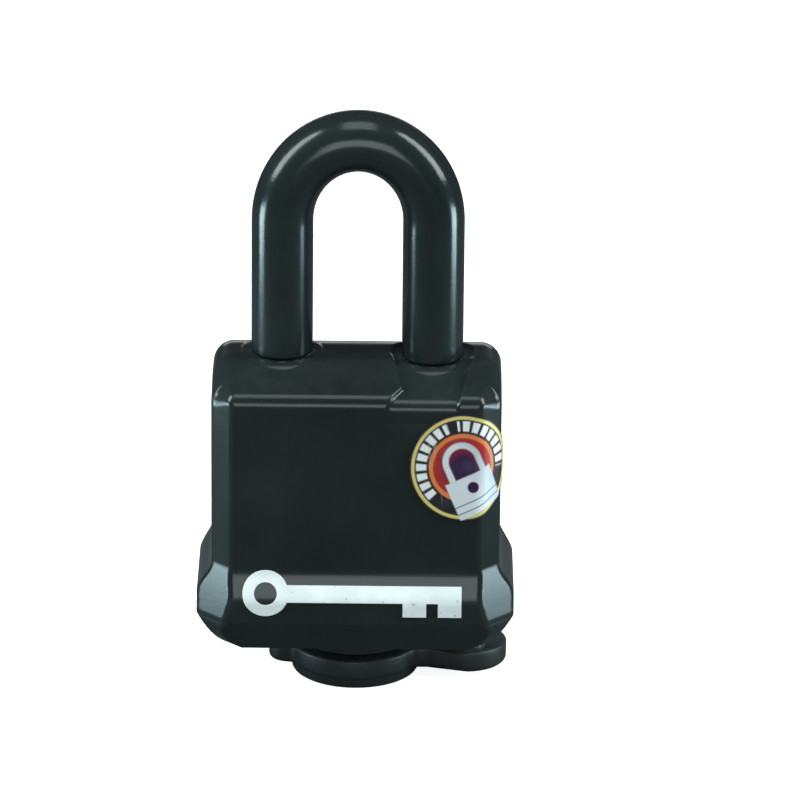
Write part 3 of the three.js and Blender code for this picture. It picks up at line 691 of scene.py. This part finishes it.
def shadeFromField(obj, field, tolerance=0.02):
    # outer faces take their normals from the shape itself, so facets and rounds reflect cleanly
    mesh = obj.data
    shadeByAngle(obj, 30)
    at = np.zeros(len(mesh.vertices) * 3)
    mesh.vertices.foreach_get("co", at)
    at = at.reshape(-1, 3) / mm
    value = field(*at.T)
    step = 0.02
    slope = []
    for axis in range(3):
        move = np.zeros(3)
        move[axis] = step
        after, before = at + move, at - move
        slope.append(field(*after.T) - field(*before.T))
    slope = np.array(slope).T
    slope /= np.maximum(np.linalg.norm(slope, axis=1), 1e-9)[:, None]
    outer = np.abs(value) < tolerance
    normals = []
    for polygon in mesh.polygons:
        onSkin = all(outer[v] for v in polygon.vertices)
        for v in polygon.vertices:
            own = Vector(slope[v])
            normals.append(own if onSkin and own.dot(polygon.normal) > 0.5 else polygon.normal.copy())
    for polygon in mesh.polygons:
        polygon.use_smooth = True
    mesh.normals_split_custom_set(normals)
    return obj


jacketPiece = shadeFromField(buildJacket(), jacketField)
finishPiece(jacketPiece, "weather_jacket", "lock_body", "jacket_black", jacketBlack, "jacket")
print("jacket built")

# bottom cap
cap = {"halfX": 20.05, "halfY": 11.05, "cut": 2.2, "face": 8.0, "top": 13.35, "landEnd": 5.3,
       "landRadius": 9.0,
       "pivotX": 17.2, "postRadius": 2.8, "bore": 6.5, "pivotHole": 1.6, "pocket": 2.3, "pocketLevel": 11.7,
       "rivetPocket": 2.7, "rivetPocketLevel": 12.2, "rivetX": 16.8, "rivetY": 7.8, "softness": 0.3,
       # the cover's stop: x from and to, y from and to, lowest level
       "stop": (-14.0, -10.8, 3.25, 5.1, 2.2), "past": 15.0}


def buildCap():
    x, y, c = cap["halfX"], cap["halfY"], cap["cut"]
    outline = [(x - c, -y), (x, c - y), (x, y - c), (x - c, y), (c - x, y), (-x, y - c), (-x, c - y),
               (c - x, -y)]
    obj = prism(outline, cap["face"], cap["top"])
    joined, past = cap["face"] + 1, cap["past"]
    carve(obj, disc(cap["landRadius"], cap["landEnd"], joined, sides=96), "UNION")
    carve(obj, disc(cap["postRadius"], cap["landEnd"], joined, cap["pivotX"]), "UNION")
    carve(obj, block(*cap["stop"], joined), "UNION")
    carve(obj, disc(cap["bore"], 0, past, sides=96))
    carve(obj, disc(cap["pivotHole"], 0, past, cap["pivotX"], sides=48))
    carve(obj, disc(cap["pocket"], cap["pocketLevel"], past, cap["pivotX"], sides=48))
    for sideX in (-1, 1):
        for sideY in (-1, 1):
            carve(obj, disc(cap["rivetPocket"], cap["rivetPocketLevel"], past, sideX * cap["rivetX"],
                            sideY * cap["rivetY"], 32))
    return softEdges(obj, cap["softness"])


finishPiece(buildCap(), "base_cap", "lock_body", "cap_black", capBlack, "bottom_cap")

# keyway cover
cover = {"low": 1.3, "high": 4.7, "radius": 10.1, "tabRadius": 6.3, "tabX": 17.2, "waist": 4.6,
         "earRadius": 3.0,
         "earX": -10.4, "bossRadius": 9.85, "recess": 7.7, "recessLevel": 1.6, "pivotHole": 1.65,
         "round": 0.8, "topRound": 0.45, "bossRound": 0.6, "spokes": 288, "spokeShift": 0.35,
         "neckBlend": 1.2, "earBlend": 1.4, "lip": 0.3, "clear": 0.04, "inner": (3.0, 4.0),
         "rayLength": 26.0}


def coverPlan(x, y, z):
    # plan of the cover: round cap, pivot tab and finger ear run into one another
    disk = np.hypot(x, y) - cover["radius"]
    tab = np.hypot(x - cover["tabX"], y) - cover["tabRadius"]
    neck = np.maximum(np.abs(y) - cover["waist"], np.maximum(-x, x - cover["tabX"]))
    ear = np.hypot(x - cover["earX"], y) - cover["earRadius"]
    blend = cover["neckBlend"]
    return blendMin(blendMin(disk, blendMin(tab, neck, blend), blend), ear, cover["earBlend"])


def buildCover():
    count = cover["spokes"]
    angles = np.linspace(0, 2 * math.pi, count, endpoint=False)
    # more spokes towards the tab, which lies far from the middle
    angles = angles - cover["spokeShift"] * np.sin(angles)
    way = np.c_[np.cos(angles), np.sin(angles), np.zeros(count)]
    start = np.zeros((count, 3))

    def loop(inset, level, least=0.0):
        ring = surfaceAlong(start, way, cover["rayLength"], coverPlan, -inset)
        length = np.maximum(np.linalg.norm(ring[:, :2], axis=1), least)
        return np.c_[way[:, :2] * length[:, None], np.full(count, level)]

    def circle(radius, level):
        return np.c_[way[:, :2] * radius, np.full(count, level)]

    rings = [[(0.0, 0.0, 0.0)], circle(cover["inner"][1], 0.0)]
    boss, bend, least = cover["bossRadius"], cover["bossRound"], cover["bossRadius"] + cover["clear"]
    for a in np.linspace(0, math.pi / 2, 5):
        rings.append(circle(boss - bend + bend * math.sin(a), bend - bend * math.cos(a)))
    rings.append(circle(boss, cover["low"] - 0.15))
    for a in np.linspace(0, math.pi / 2, 6):
        r = cover["round"]
        rings.append(loop(r - r * math.sin(a), cover["low"] + r - r * math.cos(a), least))
    rings.append(loop(0, cover["high"] - cover["topRound"], least))
    for a in np.linspace(0, math.pi / 2, 5)[1:]:
        r = cover["topRound"]
        rings.append(loop(r - r * math.cos(a), cover["high"] - r + r * math.sin(a)))
    recess, floor, lip = cover["recess"], cover["recessLevel"], cover["lip"]
    rings += [circle(recess + lip, cover["high"]), circle(recess, cover["high"] - lip),
              circle(recess, floor + lip), circle(recess - lip, floor),
              circle(cover["inner"][0], floor), [(0.0, 0.0, floor)]]
    points, faces = stackRings(rings)
    obj = fromPoints("keyway_flap", points, faces)
    carve(obj, disc(cover["pivotHole"], -1, 5, cover["tabX"], sides=48))
    return shadeByAngle(obj, 34)


finishPiece(buildCover(), "keyway_flap", "keyway_cover", "cover_rubber", coverRubber, "keyway_cover")

# cover pivot
# profiles as radius and level, from the middle of the head upwards
pivot = {"rivet": [(0, 0.4), (1.4, 0.45), (2.2, 0.6), (2.7, 0.85), (2.88, 1.1), (2.88, 1.25), (1.5, 1.25),
                   (1.5, 11.8), (2.1, 11.8), (2.1, 12.8), (0, 12.8)],
         "washer": [(1.7, 4.75), (3.45, 4.75), (3.6, 4.85), (3.6, 5.15), (3.45, 5.25), (1.7, 5.25),
                    (1.7, 4.75)]}
rivet = turnedPiece("pivot_rivet", pivot["rivet"], x=cap["pivotX"])
finishPiece(shadeByAngle(rivet), "pivot_rivet", "lock_body", "rivet_steel", rivetSteel, "cover_rivet")
washer = turnedPiece("pivot_washer", pivot["washer"], x=cap["pivotX"])
finishPiece(shadeByAngle(washer), "pivot_washer", "lock_body", "spring_steel", springSteel, "cover_washer")
print("cap, cover and pivot built")

# cylinder
cylinder = {"housing": 6.3, "bore": 4.5, "face": 5.7, "end": 35.45, "towerHalf": 2.2, "towerEnd": 9.8,
            "towerLow": 13.45, "pinHole": 1.35, "pinBore": 9.3, "plugFace": 5.9, "chamfer": 0.35,
            "past": (3, 37)}


def crossBar(radius, y0, y1, z, sides=24):
    # a round cutter along Y
    rings = [[(radius * math.cos(turn), y, z + radius * math.sin(turn)) for turn in turnsOf(sides)]
             for y in (y0, y1)]
    points, faces = stackRings(rings)
    faces += [list(range(sides)), list(range(sides, 2 * sides))[::-1]]
    return fromPoints("tool", points, faces)


pinLevels = [float((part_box(f"key_pin_{k}")[0][2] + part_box(f"key_pin_{k}")[1][2]) / 2 / mm)
             for k in range(1, 5)]


def buildHousing():
    nose, face, end, chamfer = (cylinder[k] for k in ("housing", "face", "end", "chamfer"))
    obj = turnedPiece("tool",
                      [(0, face), (nose - chamfer, face), (nose, face + chamfer), (nose, end), (0, end)],
                      sides=96)
    carve(obj, block(-cylinder["towerHalf"], cylinder["towerHalf"], 0, cylinder["towerEnd"],
                     cylinder["towerLow"], end), "UNION")
    carve(obj, disc(cylinder["bore"], *cylinder["past"], sides=96))
    for z in pinLevels:
        carve(obj, crossBar(cylinder["pinHole"], 0, cylinder["pinBore"], z))
    return softEdges(obj, 0.08)


finishPiece(buildHousing(), "cylinder_shell", "lock_body", "brass", brassMetal, "cylinder_housing")

plug = {"radius": 4.4, "top": 37.15, "tang": (1.0, 2.0, 38.55), "groove": (35.5, 36.3, 3.5),
        "slotEnd": 30.4, "chamfer": 0.3, "softness": 0.05,
        # half outline of the keyway, across and along the slot, with its two wards
        "keyway": [(-0.95, -3.3), (0.25, -3.3), (0.25, -2.2), (0.95, -1.9), (0.95, -1.0), (0.2, -0.7),
                   (0.2, 0.5),
                   (0.95, 0.8), (0.95, 3.3), (-0.3, 3.3), (-0.3, 2.2), (-0.95, 1.9), (-0.95, 0.6),
                   (-0.4, 0.3),
                   (-0.4, -0.9), (-0.95, -1.2)]}


def buildPlug():
    # drawn in its open position: the keyway runs across, along X
    face, radius, top, chamfer = cylinder["plugFace"], plug["radius"], plug["top"], plug["chamfer"]
    low, high, core = plug["groove"]
    obj = turnedPiece("tool", [(0, face), (radius - chamfer, face), (radius, face + chamfer), (radius, low),
                               (core, low), (core, high), (radius, high), (radius, top), (0, top)],
                               sides=96)
    thick, wide, end = plug["tang"]
    carve(obj, block(-thick, thick, -wide, wide, top - 1, end), "UNION")
    carve(obj, prism([(-y, x) for x, y in plug["keyway"]], face - 1, plug["slotEnd"]))
    for z in pinLevels:
        hole = crossBar(cylinder["pinHole"], 0, radius + 1, z)
        hole.data.transform(Matrix.Rotation(math.pi / 2, 4, "Z"))
        carve(obj, hole)
    return softEdges(obj, plug["softness"])


finishPiece(buildPlug(), "keyway_plug", "plug", "brass", brassMetal, "plug")
print("cylinder built")

# shackle: one node tree bends both the bar and its sleeve
shackle = {"legX": 11.5, "bendStart": 73.3, "bendRise": 12.7, "barRadius": 3.5, "sleeveRadius": 4.7,
           "sleeveWall": 1.08, "sleeveHeel": 52.35, "sleeveToe": 51.65, "barHeel": 22.75, "barToe": 38.0,
           "neckLow": 25.75, "neckHigh": 30.85, "neckRadius": 2.7, "collarRadius": 4.0,
           "notchLow": 40.3, "notchHigh": 45.3, "notchFloor": 10.45, "notchHalf": 5.0,
           "sleeveEdge": 0.22, "barEdge": 0.25}


def endTree(tree, out, shape, material):
    real = addNode(tree, "GeometryNodeRealizeInstances", {"Geometry": shape})
    painted = addNode(tree, "GeometryNodeSetMaterial", {"Geometry": real.outputs[0], "Material": material})
    feed(tree, out["Geometry"], painted.outputs[0])


def buildBentTube():
    tree, given, out = newGroup("bentTube", "GeometryNodeTree", [
        ("Leg X", "NodeSocketFloat", 0.01), ("Bend Start", "NodeSocketFloat", 0.07),
        ("Bend Rise", "NodeSocketFloat", 0.01), ("Heel Level", "NodeSocketFloat", 0.05),
        ("Toe Level", "NodeSocketFloat", 0.05), ("Radius", "NodeSocketFloat", 0.004),
        ("Steps", "NodeSocketInt", 160), ("Sides", "NodeSocketInt", 48),
        ("Capped", "NodeSocketBool", False),
        ("Material", "NodeSocketMaterial", None)], [("Geometry", "NodeSocketGeometry")])
    line = addNode(tree, "GeometryNodeCurvePrimitiveLine", {"End": (0, 0, 1)})
    dots = addNode(tree, "GeometryNodeResampleCurve", {"Curve": line.outputs[0], "Count": given["Steps"]})
    share = tree.nodes.new("GeometryNodeSplineParameter").outputs["Factor"]
    legShare = 0.2
    angle = remap(tree, share, legShare, 1 - legShare, 0.0, math.pi)
    heelDrop = times(tree, remap(tree, share, legShare, 0.0),
                     minus(tree, given["Bend Start"], given["Heel Level"]))
    toeDrop = times(tree, remap(tree, share, 1 - legShare, 1.0),
                    minus(tree, given["Bend Start"], given["Toe Level"]))
    across = times(tree, times(tree, maths(tree, "COSINE", angle), given["Leg X"]), -1.0)
    up = timesPlus(tree, maths(tree, "SINE", angle), given["Bend Rise"], given["Bend Start"])
    up = minus(tree, minus(tree, up, heelDrop), toeDrop)
    spot = addNode(tree, "ShaderNodeCombineXYZ", {"X": across, "Z": up})
    bent = addNode(tree, "GeometryNodeSetPosition",
                   {"Geometry": dots.outputs[0], "Position": spot.outputs[0]})
    section = addNode(tree, "GeometryNodeCurvePrimitiveCircle", {"Resolution": given["Sides"],
                                                                "Radius": given["Radius"]})
    tube = addNode(tree, "GeometryNodeCurveToMesh",
                   {"Curve": bent.outputs[0], "Profile Curve": section.outputs[0],
                                                     "Fill Caps": given["Capped"]})
    endTree(tree, out, tube.outputs[0], given["Material"])
    return tree


def buildCoil():
    tree, given, out = newGroup("coil", "GeometryNodeTree", [
        ("Coil Radius", "NodeSocketFloat", 0.001), ("Wire", "NodeSocketFloat", 0.0002),
        ("Length", "NodeSocketFloat", 0.004), ("Turns", "NodeSocketFloat", 6.0),
        ("Start", "NodeSocketVector", None), ("Turn", "NodeSocketVector", None),
        ("Material", "NodeSocketMaterial", None)], [("Geometry", "NodeSocketGeometry")])
    spiral = addNode(tree, "GeometryNodeCurveSpiral", {"Resolution": 20, "Rotations": given["Turns"],
                                                       "Start Radius": given["Coil Radius"],
                                                       "End Radius": given["Coil Radius"],
                                                       "Height": given["Length"]})
    section = addNode(tree, "GeometryNodeCurvePrimitiveCircle", {"Resolution": 8, "Radius": given["Wire"]})
    wire = addNode(tree, "GeometryNodeCurveToMesh",
                   {"Curve": spiral.outputs[0], "Profile Curve": section.outputs[0],
                                                     "Fill Caps": True})
    moved = addNode(tree, "GeometryNodeTransform",
                    {"Geometry": wire.outputs[0], "Translation": given["Start"],
                                                    "Rotation": given["Turn"]})
    endTree(tree, out, moved.outputs[0], given["Material"])
    return tree


def fromTree(name, tree, values):
    obj = newObject(name, bpy.data.meshes.new(name))
    modifier = obj.modifiers.new("shape", "NODES")
    modifier.node_group = tree
    for item in tree.interface.items_tree:
        if item.item_type == "SOCKET" and item.in_out == "INPUT" and item.name in values:
            modifier[item.identifier] = values[item.name]
    bakeModifiers(obj)
    work = bmesh.new()
    work.from_mesh(obj.data)
    bmesh.ops.remove_doubles(work, verts=work.verts, dist=1e-7)
    bmesh.ops.recalc_face_normals(work, faces=work.faces)
    work.to_mesh(obj.data)
    work.free()
    return obj


bentTube, coilTree = buildBentTube(), buildCoil()


def bend(name, radius, heel, toe, capped, material, steps=160, sides=64):
    return fromTree(name, bentTube, {
        "Leg X": shackle["legX"] * mm, "Bend Start": shackle["bendStart"] * mm,
        "Bend Rise": shackle["bendRise"] * mm, "Heel Level": heel * mm, "Toe Level": toe * mm,
        "Radius": radius * mm, "Steps": steps, "Sides": sides, "Capped": capped, "Material": material})


sleeve = bend("vinyl_sleeve", shackle["sleeveRadius"], shackle["sleeveHeel"], shackle["sleeveToe"], False,
              sleeveVinyl)
wall = sleeve.modifiers.new("wall", "SOLIDIFY")
wall.thickness, wall.offset = shackle["sleeveWall"] * mm, -1.0
bakeModifiers(sleeve)
edge = sleeve.modifiers.new("edge", "BEVEL")
edge.width, edge.segments = shackle["sleeveEdge"] * mm, 3
edge.limit_method, edge.angle_limit = "ANGLE", math.radians(40)
bakeModifiers(sleeve)
finishPiece(shadeByAngle(sleeve, 45), "vinyl_sleeve", "shackle", "sleeve_vinyl", sleeveVinyl,
            "shackle_sleeve")

bar = bend("shackle_rod", shackle["barRadius"], shackle["barHeel"], shackle["barToe"], True, hardSteel,
           120, 56)
legX = shackle["legX"]
carve(bar, disc(shackle["collarRadius"], shackle["barHeel"], shackle["neckLow"], -legX), "UNION")
ring = disc(shackle["barRadius"] + 1, shackle["neckLow"], shackle["neckHigh"], -legX)
carve(ring, disc(shackle["neckRadius"], shackle["neckLow"] - 1, shackle["neckHigh"] + 1, -legX))
carve(bar, ring)
floor, half = shackle["notchFloor"], shackle["notchHalf"]
carve(bar, block(-floor, 0, -half, half, shackle["neckLow"], shackle["neckHigh"]))
for low, high in ((-floor, 0), (0, floor)):
    carve(bar, block(low, high, -half, half, shackle["notchLow"], shackle["notchHigh"]))
finishPiece(softEdges(bar, shackle["barEdge"]), "shackle_rod", "shackle", "hardened_steel", hardSteel,
            "shackle_bar")

spring = {"wire": 0.2, "turns": 5.0}
for k in range(1, 5):
    low, high = boxOf(f"pin_spring_{k}")
    wire = spring["wire"]
    coilRadius, coilLength = float(high[0] - low[0]) / 2 - wire, float(high[1] - low[1] - 2 * wire)
    coilObject = fromTree(f"driver_spring_{k}", coilTree, {
        "Coil Radius": coilRadius * mm, "Wire": wire * mm, "Length": coilLength * mm,
        "Turns": spring["turns"], "Start": (0.0, float(low[1] + wire) * mm, pinLevels[k - 1] * mm),
        "Turn": (-math.pi / 2, 0.0, 0.0), "Material": springSteel})
    finishPiece(shadeByAngle(coilObject, 60), f"driver_spring_{k}", "lock_body", "spring_steel",
                springSteel,
                f"pin_spring_{k}")
print("shackle and springs built")

# round label, wrapped round the front corner
label = {"x": 16.3, "z": 38.2, "radius": 8.2, "stretch": 1.06, "inner": 0.05, "outer": 0.3, "rings": 22,
         "spokes": 128}


def sectionPath(level):
    # the jacket's outline at mid label height, grown by level, as arc length against x and y
    rays = perimeterRays()[0]
    keep = rays[(rays[:, 1] < 6) & (rays[:, 0] > 0) & ((rays[:, 3] < -0.001) | (rays[:, 0] > 16))]
    keep = keep[(keep[:, 3] < -0.001) | (keep[:, 2] > 0.5)]
    flat = np.c_[keep[:, 2:], np.zeros(len(keep))]
    line = surfaceAlong(np.c_[keep[:, :2], np.full(len(keep), label["z"])], flat, jacket["rayLength"],
                        wallField, level)[:, :2]
    length = np.r_[0, np.cumsum(np.linalg.norm(np.diff(line, axis=0), axis=1))]
    return length, line


def nearestOn(path, x, y):
    # the spot of a path nearest to a point, and how far along it lies
    length, line = path
    a, b = line[:-1], line[1:]
    step = b - a
    share = ((x - a[:, 0]) * step[:, 0] + (y - a[:, 1]) * step[:, 1]) / np.maximum((step ** 2).sum(axis=1), 1e-12)
    spots = a + step * np.clip(share, 0, 1)[:, None]
    best = np.argmin(np.hypot(spots[:, 0] - x, spots[:, 1] - y))
    return spots[best], length[best] + np.clip(share[best], 0, 1) * (length[best + 1] - length[best])


def buildLabel():
    inner, outer = (sectionPath(level) for level in (label["inner"], label["outer"]))
    start = np.interp(label["x"], outer[1][:, 0], outer[0])

    def at(share, angle, onInner):
        # both faces use the outer face's arc length, so the edge stays square
        along = start + share * label["radius"] * math.cos(angle)
        x = np.interp(along, outer[0], outer[1][:, 0])
        y = np.interp(along, outer[0], outer[1][:, 1])
        if onInner:
            x, y = nearestOn(inner, x, y)[0]
        return (x, y, label["z"] + share * label["radius"] * label["stretch"] * math.sin(angle))

    turns = turnsOf(label["spokes"])
    shares = np.linspace(0, 1, label["rings"] + 1)[1:]
    front = [[at(0, 0, False)]] + [[at(s * (1 if s < 1 else 0.995), t,
                                       False) for t in turns] for s in shares]
    back = [[at(s, t, True) for t in turns] for s in shares[::-1]] + [[at(0, 0, True)]]
    points, faces = stackRings(front + back)
    obj = fromPoints("round_label", points, faces)
    layer = obj.data.uv_layers.new(name="print")
    shares = []
    for vertex in obj.data.vertices:
        x, y, z = np.array(vertex.co) / mm
        shares.append(((nearestOn(outer, x, y)[1] - start) / label["radius"],
                       (z - label["z"]) / label["radius"] / label["stretch"]))
    for loop in obj.data.loops:
        u, v = shares[loop.vertex_index]
        layer.data[loop.index].uv = (0.5 + u / 2, 0.5 + v / 2)
    return shadeByAngle(obj, 40)


finishPiece(buildLabel(), "round_label", "lock_body", "label_print", labelPrint, "label")

# white key sign on the skirt
sign = {"left": -17.2, "right": 16.3, "low": 14.0, "height": 7.0, "shank": 0.18, "bit": 3.6,
        "bits": (9.0, 3.6),
        "hole": 0.5, "under": 0.04, "over": 0.24, "cell": 0.3, "margin": 0.9, "behind": -4.0,
        "cutter": (-18, -9), "holeCutter": (-19, -8)}


def buildSign():
    bow = sign["height"] / 2
    middle, centre, half = sign["low"] + bow, sign["left"] + bow, sign["height"] * sign["shank"]
    start = math.asin(half / bow)
    outline = [(centre + bow * math.cos(a), middle + bow * math.sin(a))
               for a in np.linspace(start, 2 * math.pi - start, 72)]
    for back in sign["bits"]:
        x = sign["right"] - back
        outline += [(x, middle - half), (x, sign["low"]), (x + sign["bit"], sign["low"])]
        if back != sign["bits"][-1]:
            outline.append((x + sign["bit"], middle - half))
    outline.append((sign["right"], middle + half))
    cutter = prism(outline, *sign["cutter"], "Y")
    hole = crossBar(bow * sign["hole"], *sign["holeCutter"], middle, 64)
    hole.data.transform(Matrix.Translation((centre * mm, 0, 0)))
    carve(cutter, hole)
    margin, cell = sign["margin"], sign["cell"]
    xs = np.arange(sign["left"] - margin, sign["right"] + margin + 0.1, cell)
    zs = np.arange(sign["low"] - margin, sign["low"] + sign["height"] + margin + 0.1, cell)
    gridX, gridZ = np.meshgrid(xs, zs)
    base = np.c_[gridX.ravel(), np.full(gridX.size, sign["behind"]), gridZ.ravel()]
    out = np.tile([0.0, -1.0, 0.0], (len(base), 1))
    front, back = (surfaceAlong(base, out, jacket["rayLength"], wallField, level)
                   for level in (sign["over"], sign["under"]))
    rows, across, half = len(zs), len(xs), len(base)
    faces = []
    for r in range(rows - 1):
        for c in range(across - 1):
            i = r * across + c
            faces.append([i, i + 1, i + across + 1, i + across])
            faces.append([half + i, half + i + across, half + i + across + 1, half + i + 1])
    rim = list(range(across)) + [r * across + across - 1 for r in range(1, rows)]
    rim += [(rows - 1) * across + c for c in range(across - 2, -1, -1)]
    rim += [r * across for r in range(rows - 2, 0, -1)]
    for k, i in enumerate(rim):
        j = rim[(k + 1) % len(rim)]
        faces.append([i, half + i, half + j, j])
    obj = fromPoints("key_sign", np.vstack([front, back]), faces)
    carve(obj, cutter, "INTERSECT")
    return shadeByAngle(obj, 40)


finishPiece(buildSign(), "key_sign", "lock_body", "white_mark", markWhite, "front_mark")
print("label and sign built")

# CAD nodes that stay
kept = {"lamination": plateSteel, "stack_rivet": rivetSteel, "driver_pin": brassMetal,
        "key_pin": brassMetal,
        "plug_clip": springSteel, "cam": hardSteel, "dog_toe": hardSteel, "dog_heel": hardSteel,
        "dog_spring": springSteel, "shackle_spring": springSteel}
for nodeName, node in nodes.items():
    for start, material in kept.items():
        if nodeName.startswith(start):
            for slotItem in node.material_slots:
                slotItem.material = material

# floor, light and camera
studio = {"floorShade": (0.82, 0.82, 0.82), "floorInGloss": (0.14, 0.145, 0.145), "floorGlow": 0.85,
          "world": (0.055, 0.058, 0.06), "lightTint": (0.88, 0.98, 1.0),
          "cardTint": (0.66, 0.93, 1.0)}


def buildFloor():
    mesh = bpy.data.meshes.new("floor")
    mesh.from_pydata([(-3, -3, 0), (3, -3, 0), (3, 3, 0), (-3, 3, 0)], [], [(0, 1, 2, 3)])
    material = bpy.data.materials.new("paleFloor")
    material.use_nodes = True
    tree = material.node_tree
    shader = tree.nodes["Principled BSDF"].inputs
    seen = tree.nodes.new("ShaderNodeLightPath").outputs["Is Camera Ray"]
    shade = mixColours(tree, seen, (*studio["floorInGloss"], 1), (*studio["floorShade"], 1))
    feed(tree, shader["Base Color"], shade)
    shader["Roughness"].default_value = 0.9
    shader["Specular IOR Level"].default_value = 0.1
    shader["Emission Color"].default_value = (1, 1, 1, 1)
    feed(tree, shader["Emission Strength"], times(tree, seen, studio["floorGlow"]))
    floor = newObject("floor", mesh, material)


def softbox(name, spot, aim, width, height, power, tint=studio["lightTint"]):
    light = bpy.data.lights.new(name, "AREA")
    light.color = tint
    light.shape, light.size, light.size_y, light.energy = "RECTANGLE", width, height, power
    obj = bpy.data.objects.new(name, light)
    bpy.context.scene.collection.objects.link(obj)
    obj.location = spot
    obj.rotation_euler = (Vector(aim) - Vector(spot)).to_track_quat("-Z", "Y").to_euler()
    return obj


buildFloor()
softbox("topBox", (0.0, -0.12, 0.62), (0, 0, 0.04), 0.26, 0.3, 0.8)
softbox("frontBox", (0.0, -1.0, 0.24), (0, 0, 0.04), 0.6, 0.4, 3.1)
softbox("backBox", (0.0, 0.9, 0.09), (0, 0, 0.05), 0.5, 0.14, 0.3)
for name, side in (("left", -1), ("right", 1)):
    softbox(name + "Strip", (side * 0.4, -0.085, 0.42), (0, -0.085, 0.42), 0.15, 0.54, 3.1)
    softbox(name + "Card", (side * 0.2, -0.03, 0.026), (0, -0.03, 0.026), 0.07, 0.05, 0.23,
            studio["cardTint"])

world = bpy.data.worlds.new("studio")
world.use_nodes = True
world.node_tree.nodes["Background"].inputs["Color"].default_value = (*studio["world"], 1)
bpy.context.scene.world = world

lens = {"aim": (0.0066, 0.0, 0.0441), "elevation": 21.0, "distance": 1.0, "focal": 293.4, "roll": 0.55}
camera = bpy.data.objects.new("camera", bpy.data.cameras.new("camera"))
bpy.context.scene.collection.objects.link(camera)
camera.data.lens, camera.data.sensor_width = lens["focal"], 36.0
camera.data.clip_end = 20
lift = math.radians(lens["elevation"])
camera.location = Vector(lens["aim"]) + lens["distance"] * Vector((0, -math.cos(lift), math.sin(lift)))
camera.rotation_euler = (math.pi / 2 - lift, 0, 0)
camera.rotation_euler.rotate_axis("Z", math.radians(lens["roll"]))
bpy.context.scene.camera = camera
bpy.context.scene.view_settings.view_transform = "Standard"
print("studio set")
